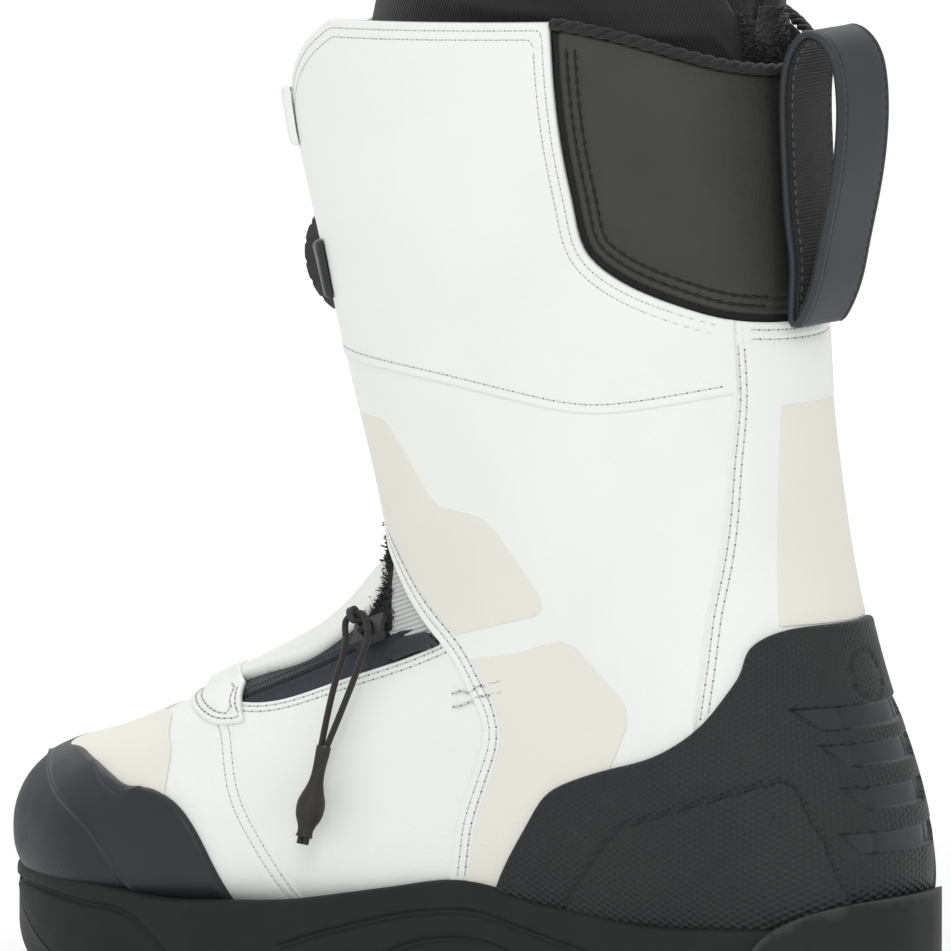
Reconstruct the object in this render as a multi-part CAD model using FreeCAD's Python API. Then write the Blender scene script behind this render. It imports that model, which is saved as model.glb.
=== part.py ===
import FreeCAD, Part
import math
import os

# Snowboard boot, right foot. Millimetres. +X to the toe, +Y to the medial (inner) side, +Z up.
# Origin: centre of the bounding box in X and Y, on the ground.

V = FreeCAD.Vector

# ---- driving dimensions -------------------------------------------------------------------------

SHELL_THICK = 2.2        # coated fabric shell
OVERLAY_THICK = 1.0      # off-white patches on the shell
RUBBER_THICK = 3.0       # toe cap and heel counter stand this proud
SHROUD_PROUD = 2.6       # padded instep cover
LAYER_GAP = 0.05         # between one layer and the next
TONGUE_THICK = 2.0
LINER_OUT = 4.6          # liner starts this far inside the shell's outer face
LINER_IN = 10.0
LINER_TOP_FRONT = 302.0
LINER_TOP_BACK = 293.0
LINER_SPLIT = 216.0      # seam between the liner's boot and its cuff

HALF_LENGTH = 141.0
SOLE_GROUND_FRONT = 85.0  # the sole leaves the ground ahead of this X
OUTSOLE_THICK = 9.0
LUG_DEPTH = 4.0

STRAP_WIDTH = 25.0       # pull loop
STRAP_OUTER = 2.0
STRAP_WEBBING = 1.1

KNOB_RADIUS = 15.2       # dial units
KNOB_TOP = 12.0
KNOB_PULL = 2.2
LACE_RADIUS = 0.55

SKIN_RINGS = 34          # rings that the upper's surface is fitted through

CORD_RADIUS = 0.9        # zipper puller
TAB_LENGTH = 4.2
TEETH_LENGTH = 41.0

MEDIAL = 1               # sides of the boot
LATERAL = -1

# Cross sections of the upper from the toe to the top of the cuff. Each section is cut by a plane that
# holds the front (or top) point F and the back (or bottom) point B of the centre line:
# F x, F z, B x, B z, half width, centre y, front roundness, back roundness, widest point's shift.
SECTIONS = [
    (135, 57, 134, 41, 12, 8, 2.0, 2.4, 0.1),
    (131, 66, 131, 35, 23, 7, 2.0, 2.6, 0.1),
    (122, 71, 122, 31, 33, 5, 2.1, 3.0, 0.15),
    (106, 76, 106, 28, 43, 3, 2.1, 3.2, 0.2),
    (83, 86, 86, 26, 48.5, 1, 2.1, 3.4, 0.25),
    (60, 97, 62, 26, 49, 0, 2.1, 3.4, 0.25),
    (43, 106, 34, 25, 46.5, 0, 2.1, 3.3, 0.2),
    (33, 114, 0, 24, 43.5, 0, 2.1, 3.2, 0.1),
    (27, 121, -42, 24, 41.5, 0, 2.1, 3.2, 0),
    (23.5, 129, -97, 22.5, 41, 0, 2.1, 3.2, 0),
    (24, 138, -130, 34, 41, 0, 2.1, 2.9, 0),
    (26, 148, -134.5, 62, 41.5, 0, 2.1, 2.4, 0),
    (29, 160, -126, 91, 42, 0, 2.1, 2.1, 0),
    (33, 175, -116, 122, 43, 0, 2.1, 2.1, 0),
    (38, 194, -109, 158, 45.5, 0, 2.1, 2.1, 0),
    (44, 218, -105, 194, 48.5, 0, 2.1, 2.1, 0),
    (50, 244, -102, 228, 52, 0, 2.1, 2.1, 0),
    (54, 268, -101, 258, 54, 0, 2.1, 2.1, 0),
    (57, 288, -101, 285, 55, 0, 2.1, 2.1, 0),
    (58, 304, -101, 303, 56, 0, 2.1, 2.1, 0),
]

# The liner follows the shell up to the ankle, and its cuff stands clear of the shell's front above that.
LINER_SECTIONS = SECTIONS[:14] + [
    (37, 194, -109, 158, 45.5, 0, 2.1, 2.1, 0),
    (40, 218, -104, 194, 47.5, 0, 2.1, 2.1, 0),
    (38, 244, -100, 228, 49, 0, 2.1, 2.1, 0),
    (33, 268, -97, 258, 49.5, 0, 2.1, 2.1, 0),
    (28, 288, -95.5, 285, 50, 0, 2.1, 2.1, 0),
    (25, 304, -95, 303, 50, 0, 2.1, 2.1, 0),
]

# Seams, as points (x, z) seen from the side.
VAMP_SEAM = [(80, 88.6), (73.5, 87.5), (65, 86.3), (56.5, 84), (47, 67), (38, 51), (29, 36), (22, 22)]
ZIP_LOWER = [(62, 86), (45, 88.7), (23.7, 95.6), (2.8, 102.9), (-9, 107.7)]
ZIP_UPPER = [(74, 88), (54, 95.6), (36.7, 101.3), (26.7, 108), (18.5, 114.7), (16.5, 123)]
QUARTER_EDGE = [(24, 142), (19, 135), (13.6, 129.7), (6.3, 122.4), (-4.8, 112.6), (-10.6, 108.4),
                (-17, 102.6), (-21.4, 96.8), (-25.5, 91), (-27.3, 84.7), (-25.2, 76.5), (-22.3, 68.8),
                (-19.5, 60.4), (-18, 52.4), (-16.5, 45.3), (-15, 22)]
CUFF_SEAM = [(70, 186), (24, 183.4), (-0.3, 182), (-17.7, 180.4), (-43.7, 176.6), (-63.7, 174.6),
             (-77.3, 176.2), (-98, 180.5)]
BACKSTAY_SEAM = [(-95.2, 206), (-95.9, 191.7), (-96.6, 179.6), (-96.1, 162), (-95.8, 147.4),
                 (-94.7, 132.5), (-93.2, 120.8), (-92.7, 111.5), (-91.7, 91.5), (-90, 60), (-89, 22)]
COLLAR_EDGE = [(-54, 286), (-55.2, 261), (-57.5, 242), (-59.8, 229), (-62.6, 218.5), (-68.4, 212.6),
               (-76.6, 207.8), (-86.8, 203.4), (-95, 200.4), (-103, 198.8), (-122, 198.4)]
COLLAR_TOP = [(-54, 279), (-70, 276), (-85, 271), (-98, 266), (-120, 261)]
COUNTER_EDGE = [(-118, 117.2), (-113, 117), (-106.4, 114.4), (-103.7, 111.5), (-102.4, 105.5),
                (-100, 100), (-94.7, 91.7), (-88.5, 86.3), (-80.5, 82), (-70, 78.8), (-54.4, 73.6),
                (-48.7, 70.5), (-43, 63.2), (-38, 55.5), (-31.5, 45), (-26, 34)]
CAP_EDGE = [(119.5, 80), (120.5, 73.5), (119, 71), (114.4, 70.4), (100.5, 69), (90, 66.2), (82.4, 64),
            (76.3, 64.1), (70.3, 62.8), (64.5, 59.5), (60, 54.5), (55.5, 46.8), (51.5, 38), (49, 30)]
SOLE_TOP = [(150, 39), (126, 38.3), (101, 38), (81, 36.4), (70, 35.2), (51, 35.6), (30, 36.8),
            (19, 38.5), (-4, 42.6), (-17.4, 44.6), (-30.6, 43.4), (-41, 40.9), (-59, 38.6),
            (-73, 36.8), (-106, 36.8), (-150, 37)]
SOLE_BOTTOM = [(85, 0), (100, 3.5), (112, 9.2), (122, 14.8), (130, 20), (137, 25.5), (150, 36)]

# Front edges of the cuff flaps, as points (y, z) seen from the front.
MEDIAL_FLAP = [(24, 118), (18, 138), (16, 150), (15.5, 185), (15.5, 205), (17, 225), (20, 240),
               (25.5, 249), (32, 256), (40, 263), (46, 268), (50.5, 273)]
LATERAL_FLAP = [(3, 110), (3, 200), (3, 244), (0.5, 254), (-6, 262), (-18, 269), (-32, 273.5), (-46, 276)]

# Outline of the sole from above: medial side from the toe back, then the lateral side forward.
SOLE_OUTLINE = [(140.4, 7), (133, 24), (120, 38.5), (104, 48), (84, 53), (58, 54), (28, 49), (0, 44.5),
                (-30, 42), (-62, 41), (-98, 39), (-124, 29), (-135.5, 15), (-138.6, 0),
                (-135.5, -15), (-124, -30), (-98, -40), (-62, -43), (-24, -47), (18, -53), (54, -54),
                (84, -48.5), (110, -37), (130, -20), (139, -6)]

# Lacing dials: where each one sits on the front of the shell, as section number and angle.
DIALS = {"lower": (67.55, -13.5), "upper": (76.28, -23.0)}

# Zipper: the line of the closed teeth, from the ankle end to the toe end.
ZIP_START = V(13.5, 31.2, 108.3)
ZIP_END = V(61.0, 32.9, 88.2)

# Puller: fold of the cord in the tab's eye, then the two ends of the moulded sleeve.
SLEEVE_TOP = V(19.0, 48.0, 79.5)
SLEEVE_END = V(21.5, 54.3, 55.2)

os.makedirs("parts", exist_ok=True)
MADE = {}


def save(name, shape):
    """Keep one piece as its own STEP file, and check that it is one sound solid."""
    solids = shape.Solids
    if len(solids) > 1:
        big = max(s.Volume for s in solids)
        solids = [s for s in solids if s.Volume > 0.02 * big]
        shape = Part.Compound(solids) if len(solids) > 1 else solids[0]
    elif solids:
        shape = solids[0]
    MADE[name] = shape
    shape.exportStep("parts/" + name + ".step")
    print(name, "solids", len(shape.Solids), "volume", round(shape.Volume), "ok", shape.isValid())


# ---- the upper's skin ---------------------------------------------------------------------------

def natural_spline(stations, values):
    """Natural cubic spline through the values, as a function of the station."""
    last = len(stations) - 1
    step = [stations[i + 1] - stations[i] for i in range(last)]
    weight = [1.0] * (last + 1)
    ratio = [0.0] * (last + 1)
    carry = [0.0] * (last + 1)
    for i in range(1, last):
        rise = (values[i + 1] - values[i]) / step[i] - (values[i] - values[i - 1]) / step[i - 1]
        weight[i] = 2 * (stations[i + 1] - stations[i - 1]) - step[i - 1] * ratio[i - 1]
        ratio[i] = step[i] / weight[i]
        carry[i] = (3 * rise - step[i - 1] * carry[i - 1]) / weight[i]
    bend = [0.0] * (last + 1)
    for i in range(last - 1, -1, -1):
        bend[i] = carry[i] - ratio[i] * bend[i + 1]

    def value(t):
        i = 0
        while i < last - 1 and t > stations[i + 1]:
            i += 1
        d = t - stations[i]
        slope = (values[i + 1] - values[i]) / step[i] - step[i] * (bend[i + 1] + 2 * bend[i]) / 3
        return values[i] + d * (slope + d * (bend[i] + d * (bend[i + 1] - bend[i]) / (3 * step[i])))

    return value


def section_stations():
    """Numbers the sections so that a step is about the square root of the distance in mm."""
    stations = [0.0]
    for a, b in zip(SECTIONS, SECTIONS[1:]):
        front = math.hypot(a[0] - b[0], a[1] - b[1])
        back = math.hypot(a[2] - b[2], a[3] - b[3])
        stations.append(stations[-1] + math.sqrt(max(1.0, (front + back) / 2)))
    return stations


STATIONS = section_stations()
SHELL_COLUMNS = [natural_spline(STATIONS, [row[i] for row in SECTIONS]) for i in range(9)]
LINER_COLUMNS = [natural_spline(STATIONS, [row[i] for row in LINER_SECTIONS]) for i in range(9)]


def skin_point(v, degrees, grow=0.0, columns=SHELL_COLUMNS):
    """Point on the skin, moved out by grow. 0 degrees is the front, 90 medial, 180 the back."""
    fx, fz, bx, bz, half, yc, round_f, round_b, shift = [column(v) for column in columns]
    dx, dz = fx - bx, fz - bz
    length = math.hypot(dx, dz)
    dx, dz = dx / length, dz / length
    half_deep = length / 2
    mx = (fx + bx) / 2 - dx * shift * half_deep
    mz = (fz + bz) / 2 - dz * shift * half_deep
    c = math.cos(math.radians(degrees))
    s = math.sin(math.radians(degrees))
    power = round_f if c >= 0 else round_b
    deep = half_deep * (1 + shift if c >= 0 else 1 - shift) + grow
    u = deep * math.copysign(abs(c) ** (2 / power), c)
    w = (half + grow) * math.copysign(abs(s) ** (2 / power), s)
    nose = grow * max(0.0, 1 - v / STATIONS[3])
    return V(mx + dx * u + nose, yc + w, mz + dz * u)


def skin_normal(v, degrees):
    """Outward normal of the skin."""
    along = skin_point(v + 0.1, degrees) - skin_point(v - 0.1, degrees)
    around = skin_point(v, degrees + 0.5) - skin_point(v, degrees - 0.5)
    normal = around.cross(along)
    normal.normalize()
    outward = skin_point(v, degrees, 5) - skin_point(v, degrees)
    return normal if normal.dot(outward) > 0 else normal * -1


def skin_solid(grow, columns=SHELL_COLUMNS):
    """Solid of the whole upper, out to the skin moved by grow."""
    rings = []
    for i in range(SKIN_RINGS):
        v = STATIONS[-1] * i / (SKIN_RINGS - 1)
        rings.append([skin_point(v, 5 + 10 * k, grow, columns) for k in range(37)])
    surface = Part.BSplineSurface()
    surface.interpolate(rings)
    toe_end, top_end = surface.bounds()[:2]
    caps = [Part.Face(Part.Wire([surface.uIso(u).toShape()])) for u in (toe_end, top_end)]
    shell_faces = Part.makeShell([surface.toShape()] + caps)
    shell_faces.sewShape()
    return Part.Solid(Part.Shell(shell_faces.Faces))


SKINS = {}


def skin(grow):
    if grow not in SKINS:
        SKINS[grow] = skin_solid(grow)
    return SKINS[grow]


def layer(inner, outer):
    """Hollow shell between two offsets of the skin."""
    return skin(outer).cut(skin(inner))


def liner_layer(inner, outer):
    """Hollow shell between two offsets of the liner's own skin."""
    return skin_solid(outer, LINER_COLUMNS).cut(skin_solid(inner, LINER_COLUMNS))


# ---- cutting regions ----------------------------------------------------------------------------

def curve_wire(points, corners):
    """Closed wire: a smooth curve through the points, closed by straight lines over the corners."""
    curve = Part.BSplineCurve()
    curve.interpolate(points)
    edges = [curve.toShape()]
    ring = [points[-1]] + corners + [points[0]]
    for a, b in zip(ring, ring[1:]):
        if (a - b).Length > 1e-6:
            edges.append(Part.LineSegment(a, b).toShape())
    return Part.Wire(edges)


def side_region(seam, corners, side=0):
    """Block seen from the side: seam and corners are (x, z); side keeps one half of the boot."""
    y0 = 0 if side == MEDIAL else -90
    y1 = 0 if side == LATERAL else 90
    points = [V(x, y0, z) for x, z in seam]
    ring = [V(x, y0, z) for x, z in corners]
    return Part.Face(curve_wire(points, ring)).extrude(V(0, y1 - y0, 0))


def front_region(seam, corners):
    """Block seen from the front: seam and corners are (y, z)."""
    points = [V(-160, y, z) for y, z in seam]
    ring = [V(-160, y, z) for y, z in corners]
    return Part.Face(curve_wire(points, ring)).extrude(V(320, 0, 0))


def box(x0, y0, z0, x1, y1, z1):
    return Part.makeBox(x1 - x0, y1 - y0, z1 - z0, V(x0, y0, z0))


def half(side):
    return box(-160, 0, -10, 160, 90, 320) if side == MEDIAL else box(-160, -90, -10, 160, 0, 320)


def outline(grow, z0, z1):
    """Block with the sole's outline, moved out by grow."""
    count = len(SOLE_OUTLINE)
    points = []
    for i in range(count):
        xa, ya = SOLE_OUTLINE[i - 1]
        xb, yb = SOLE_OUTLINE[(i + 1) % count]
        x, y = SOLE_OUTLINE[i]
        length = math.hypot(xb - xa, yb - ya)
        points.append(V(x - grow * (yb - ya) / length * -1, y - grow * (xb - xa) / length, z0))
    curve = Part.BSplineCurve()
    curve.interpolate(points, PeriodicFlag=True)
    face = Part.Face(Part.Wire([curve.toShape()]))
    return face.extrude(V(0, 0, z1 - z0))


def polygon_block(points, y0, y1):
    ring = [V(x, y0, z) for x, z in points]
    ring.append(ring[0])
    return Part.Face(Part.makePolygon(ring)).extrude(V(0, y1 - y0, 0))


def cylinder(at, axis, radius, low, high):
    """Cylinder about an axis through a point, between two heights."""
    return Part.makeCylinder(radius, high - low, at + axis * low, axis)


def ring_solid(at, axis, inner, outer, low, high):
    return cylinder(at, axis, outer, low, high).cut(cylinder(at, axis, inner, low - 1, high + 1))


# ---- sole ---------------------------------------------------------------------------------------

def above_bottom(lift):
    """Everything over the bottom of the sole raised by lift: flat from the heel, then up to the toe."""
    spring = [(x, z + lift) for x, z in SOLE_BOTTOM]
    return side_region(spring, [(150, 60), (-150, 60), (-150, 9 + lift), (-134, lift)])


def sole_unit():
    under = above_bottom(0)
    over = above_bottom(OUTSOLE_THICK)
    body = outline(0, -5, 60)
    outsole = body.common(under).cut(over)
    # tread: cross grooves, two long grooves and a raised arch
    for x in range(-116, 118, 18):
        lift = LUG_DEPTH + max(0.0, (x - SOLE_GROUND_FRONT) * 0.55)
        groove = box(x - 2.2, -60, -5, x + 2.2, 60, lift)
        groove.rotate(V(x, 0, 0), V(0, 0, 1), 12 if x > 0 else -12)
        outsole = outsole.cut(groove)
    for y in (-16, 16):
        outsole = outsole.cut(box(-132, y - 1.8, -5, 108, y + 1.8, LUG_DEPTH))
    outsole = outsole.cut(box(-34, -60, -5, 12, 60, 2.5))
    save("outsole", outsole)

    foam = side_region(SOLE_TOP, [(-150, -20), (150, -20)])
    midsole = body.common(over).common(foam).cut(skin(LAYER_GAP))
    plate = box(-74, -13, 13.5, 34, 13, 16)
    puck = Part.makeCylinder(24, 8, V(-98, 0, 12))
    pocket = box(-74.1, -13.1, 13.4, 34.1, 13.1, 16.1)
    midsole = midsole.cut(pocket).cut(Part.makeCylinder(24.1, 8.2, V(-98, 0, 11.9)))
    save("midsole", midsole)
    for i in (-52, -30, -8, 14):
        plate = plate.cut(Part.makeCylinder(4, 8, V(i, 0, 10)))
    save("shank", plate)
    save("heel_shock_pad", puck)

    tab = side_region([(-106, 14), (-109, 28), (-114, 35), (-122, 40), (-132, 43.5), (-146, 45)],
                      [(-146, 9), (-106, 9)])
    tab = outline(2.4, 5, 60).common(tab).cut(outline(0.02, 0, 60))
    save("heel_bumper", tab.cut(skin(RUBBER_THICK + LAYER_GAP)))


# ---- shell --------------------------------------------------------------------------------------

def shell_regions():
    """Regions of the shell's panels, seen from the side."""
    regions = {}
    regions["vamp"] = side_region([(83, 100)] + VAMP_SEAM, [(160, 22), (160, 100)])
    regions["shroud"] = side_region(ZIP_UPPER, [(20, 127), (34, 132), (90, 112), (81, 89)])
    ankle_end = [(-5, 111), (8, 108.2)]
    regions["zipper"] = side_region([(62, 85.4)] + ZIP_LOWER[1:], ankle_end + ZIP_UPPER[-2::-1], MEDIAL)
    regions["counter"] = side_region(COUNTER_EDGE, [(-150, 34), (-150, 117.2)])
    regions["cap"] = side_region(CAP_EDGE, [(150, 30), (150, 80)])
    regions["behind_quarter"] = side_region(QUARTER_EDGE, [(-150, 22), (-150, 320), (60, 320), (60, 142)])
    regions["above_seam"] = side_region(CUFF_SEAM, [(-150, 181), (-150, 320), (70, 320)])
    regions["backstay"] = side_region(BACKSTAY_SEAM, [(-160, 22), (-160, 206)])
    regions["collar"] = side_region(COLLAR_EDGE, [(-150, 198), (-150, 320), (-54, 320)])
    regions["above_sole"] = side_region([(x, z + 0.1) for x, z in SOLE_TOP], [(-150, 320), (150, 320)])
    regions["above_board"] = box(-160, -90, 31.5, 160, 90, 330)
    cuff_top = [(80, 278.5), (-70, 273.6), (-160, 273)]
    regions["below_cuff_top"] = polygon_block(cuff_top + [(-160, -5), (80, -5)], -90, 90)
    regions["medial_flap"] = front_region(MEDIAL_FLAP, [(90, 277), (90, 118)])
    regions["lateral_flap"] = front_region(LATERAL_FLAP, [(-90, 276.5), (-90, 110)])
    return regions


def shell():
    r = shell_regions()
    shell_layer = layer(-SHELL_THICK, 0)
    save("lasting_board", shell_layer.cut(r["above_board"]))
    upper = shell_layer.common(r["above_board"])

    vamp = upper.common(r["vamp"])
    save("vamp_panel", vamp)
    behind_vamp = upper.cut(r["vamp"])
    forefoot = behind_vamp.cut(r["behind_quarter"]).cut(r["shroud"]).cut(r["zipper"])
    low = side_region([(90, 88), (60, 88), (45, 88.9), (23.7, 95.6), (2.8, 102.9), (-9, 107.7), (-30, 118)],
                      [(-30, 0), (90, 0)])
    low_lateral = side_region(ZIP_UPPER, [(-5, 112), (-30, 112), (-30, 0), (90, 0), (90, 88)])
    save("forefoot_side_medial", forefoot.common(half(MEDIAL)).common(low))
    save("forefoot_side_lateral", forefoot.common(half(LATERAL)).common(low_lateral))

    back = behind_vamp.common(r["behind_quarter"])
    stay = back.common(r["backstay"]).cut(r["collar"])
    save("backstay", stay)
    side = back.cut(r["backstay"]).cut(r["collar"])
    quarter = side.cut(r["above_seam"])
    cuff = side.common(r["above_seam"]).common(r["below_cuff_top"])
    medial_reach = r["medial_flap"].fuse(box(-150, 0, 0, 6, 90, 140))
    save("quarter_medial", quarter.common(medial_reach).common(half(MEDIAL)))
    save("quarter_lateral", quarter.common(box(-150, -90, 0, 60, 3, 200)))
    save("cuff_medial", cuff.common(r["medial_flap"]).common(half(MEDIAL)))
    save("cuff_lateral", cuff.common(r["lateral_flap"]))

    collar_top = side_region(COLLAR_TOP, [(-150, 150), (-54, 150)])
    collar = layer(-SHELL_THICK, -0.4).common(r["collar"]).common(collar_top)
    save("collar_panel", collar)
    rope_low = side_region([(x, z + 0.1) for x, z in COLLAR_TOP], [(-150, 320), (-54, 320)])
    rope_high = side_region([(x, z + 3.1) for x, z in COLLAR_TOP], [(-150, 150), (-54, 150)])
    rope = layer(-SHELL_THICK - 0.2, 0.6).common(rope_low).common(rope_high)
    save("collar_binding", rope.cut(box(-55.8, -90, 200, 90, 90, 330)))

    t, w, n, _ = zipper_frame()
    slider_way = local_block(ZIP_START, t, w, n, (-5.2, -4.2, 0.3), (39.4, 4.2, 3.8))
    shroud = layer(-SHELL_THICK, SHROUD_PROUD).common(r["shroud"]).cut(r["vamp"]).cut(slider_way)
    shroud = shroud.cut(front_region([(40, 80), (38, 108), (34, 112)], [(90, 112), (90, 80)]))
    save("instep_shroud", shroud)

    gusset = polygon_block([(-8, 109.2), (-4.5, 111.4), (8, 108.8), (18, 115.6), (16.9, 122), (19, 127.2),
                            (26, 130), (23, 140), (19, 134.6), (13.8, 129.4), (6.5, 122), (-4.6, 112.2)], 5, 60)
    teeth_way = local_block(ZIP_START, t, w, n, (-6.2, -1.4, -4.2), (TEETH_LENGTH + 0.2, 1.4, 1.4))
    gusset = layer(-SHELL_THICK, -0.9).common(gusset).cut(r["shroud"]).cut(r["zipper"]).cut(teeth_way)
    save("throat_gusset", gusset)

    tongue = side_region([(-2, 150), (-2, 122), (10, 112), (40, 96), (70, 82)], [(78, 95), (78, 320), (-2, 320)])
    tongue_top = front_region([(-34, 240), (-22, 249), (0, 252), (22, 249), (34, 240)], [(34, 60), (-34, 60)])
    save("shell_tongue", layer(-2.3 - TONGUE_THICK, -2.3).common(tongue).common(tongue_top))
    return r


def overlays(r):
    patch_layer = layer(LAYER_GAP, OVERLAY_THICK)
    quarter = r["behind_quarter"]
    ankle = side_region([(40, 168.2), (17.4, 168), (9.8, 168.3), (5.6, 165.4), (0.1, 159.3), (-9.1, 148),
                         (-12, 145.8), (-26.6, 144.3), (-31.4, 141.7), (-46.4, 123.9), (-47.4, 121),
                         (-45.6, 118.6), (-13.8, 110.3), (0, 105)], [(40, 120)])
    midfoot = side_region([(-8, 102), (-16.7, 103.9), (-38.8, 107.9), (-52, 112.2), (-57.5, 111),
                           (-65.3, 103.4), (-72.9, 96.4), (-73.6, 90.5), (-69.9, 82.1), (-64, 70)],
                          [(-50, 60), (-30, 30), (-5, 30)])
    for side, name in ((MEDIAL, "medial"), (LATERAL, "lateral")):
        flap = box(-150, -90, 0, 60, 3, 200)
        if side == MEDIAL:
            flap = r["medial_flap"].fuse(box(-150, 0, 0, 6, 90, 140))
        upper = patch_layer.common(ankle).common(quarter).common(half(side)).common(flap)
        save("overlay_upper_" + name, upper)
        lower = patch_layer.common(midfoot).common(quarter).common(half(side))
        save("overlay_lower_" + name, lower.cut(r["counter"]).common(r["above_sole"]))
    toe = side_region([(101, 92), (95, 84), (90.9, 81.7), (81.5, 81.8), (75, 77), (72.8, 74.9), (70.6, 68),
                       (70.3, 60)], [(104, 60), (125, 66), (125, 92)])
    save("overlay_toe", patch_layer.common(toe).cut(r["cap"]))
    strip = front_region([(-21.5, 117.5), (-13, 176.5)], [(13, 176.5), (21.5, 117.5)])
    save("overlay_back", patch_layer.common(strip).common(box(-160, -40, 60, -94, 40, 200)))


def rubber(r):
    proud = layer(LAYER_GAP, RUBBER_THICK).common(r["above_sole"])
    cap = proud.common(r["cap"])
    # two raised ridges sweep round the cap
    for z in (48, 56):
        ridge = layer(LAYER_GAP, RUBBER_THICK + 0.8)
        upper_line = [(150, z + 6), (118, z + 4), (90, z), (62, z - 9)]
        band = side_region(upper_line, [(62, z - 11), (90, z - 2), (150, z + 4)])
        cap = cap.fuse(ridge.common(band).common(r["cap"]).common(r["above_sole"]))
    save("toe_cap", cap.common(box(45, -80, 0, HALF_LENGTH - 0.2, 80, 90)))
    counter = proud.common(r["counter"])
    # four flexing ribs are pressed in at the back of the heel
    for z in (94, 84, 73, 61):
        slot = layer(RUBBER_THICK - 1.1, RUBBER_THICK + 2).common(box(-150, -90, z - 1.2, -113, 90, z + 1.2))
        counter = counter.cut(slot)
    save("heel_counter", counter)


# ---- pull loop ----------------------------------------------------------------------------------

LOOP = [(-108.4, 199), (-107.9, 210), (-106.6, 225), (-105.4, 240), (-104.8, 252), (-105, 264),
        (-107.2, 272), (-112.3, 276.6), (-118, 273.5), (-121.3, 265), (-121.8, 252), (-119.6, 235),
        (-115.8, 218), (-111.6, 204)]


def loop_block(grow):
    count = len(LOOP)
    points = []
    for i in range(count):
        xa, za = LOOP[i - 1]
        xb, zb = LOOP[(i + 1) % count]
        length = math.hypot(xb - xa, zb - za)
        x, z = LOOP[i]
        points.append(V(x + grow * (zb - za) / length, -STRAP_WIDTH / 2, z - grow * (xb - xa) / length))
    curve = Part.BSplineCurve()
    curve.interpolate(points, PeriodicFlag=True)
    return Part.Face(Part.Wire([curve.toShape()])).extrude(V(0, STRAP_WIDTH, 0))


def pull_loop():
    outer = loop_block(1.6).cut(loop_block(1.6 - STRAP_OUTER))
    inner = loop_block(1.6 - STRAP_OUTER - 0.02).cut(loop_block(1.6 - STRAP_OUTER - STRAP_WEBBING))
    clear = skin(LAYER_GAP).fuse(skin(1.05).common(box(-130, -50, 150, -80, 50, 197)))
    save("pull_loop", outer.cut(clear))
    save("pull_loop_webbing", inner.cut(clear))


# ---- zipper and puller --------------------------------------------------------------------------

def local_block(at, t, w, n, low, high):
    """Block in a local frame: t along the zipper, w across it, n away from the boot."""
    def corner(a, b, c):
        return at + t * a + w * b + n * c
    ring = [corner(low[0], low[1], low[2]), corner(high[0], low[1], low[2]),
            corner(high[0], high[1], low[2]), corner(low[0], high[1], low[2]), corner(low[0], low[1], low[2])]
    return Part.Face(Part.makePolygon(ring)).extrude(n * (high[2] - low[2]))


def tube_path(points):
    """Straight runs joined by tangent arcs, each as large as its two runs allow."""
    edges = []
    radii = []
    start = points[0]
    for i in range(1, len(points) - 1):
        a = points[i - 1] - points[i]
        b = points[i + 1] - points[i]
        reach = 0.45 * min(a.Length, b.Length)
        turn = math.pi - a.getAngle(b)
        radii.append(round(reach / math.tan(turn / 2), 2))
        ua = a.multiply(1 / a.Length)
        ub = b.multiply(1 / b.Length)
        p = points[i] + ua * reach
        q = points[i] + ub * reach
        bisector = ua + ub
        bisector.normalize()
        radius = reach / math.tan(turn / 2)
        far = radius / math.cos(turn / 2) - radius
        edges.append(Part.LineSegment(start, p).toShape())
        edges.append(Part.Arc(p, points[i] + bisector * far, q).toShape())
        start = q
    edges.append(Part.LineSegment(start, points[-1]).toShape())
    return Part.Wire(edges), radii


def tube(points, radius, name):
    path, radii = tube_path(points)
    direction = points[1] - points[0]
    circle = Part.Wire([Part.Circle(points[0], direction, radius).toShape()])
    solid = path.makePipeShell([circle], True, False)
    expected = math.pi * radius * radius * path.Length
    print(name, "length", round(path.Length, 1), "radii", radii, "volume / expected", round(solid.Volume / expected, 3))
    return solid


def zipper_frame():
    t = ZIP_END - ZIP_START
    length = t.Length
    t.normalize()
    n = V(0.265, 0.69, 0.66)
    n = n - t * n.dot(t)
    n.normalize()
    return t, n.cross(t), n, length


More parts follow.
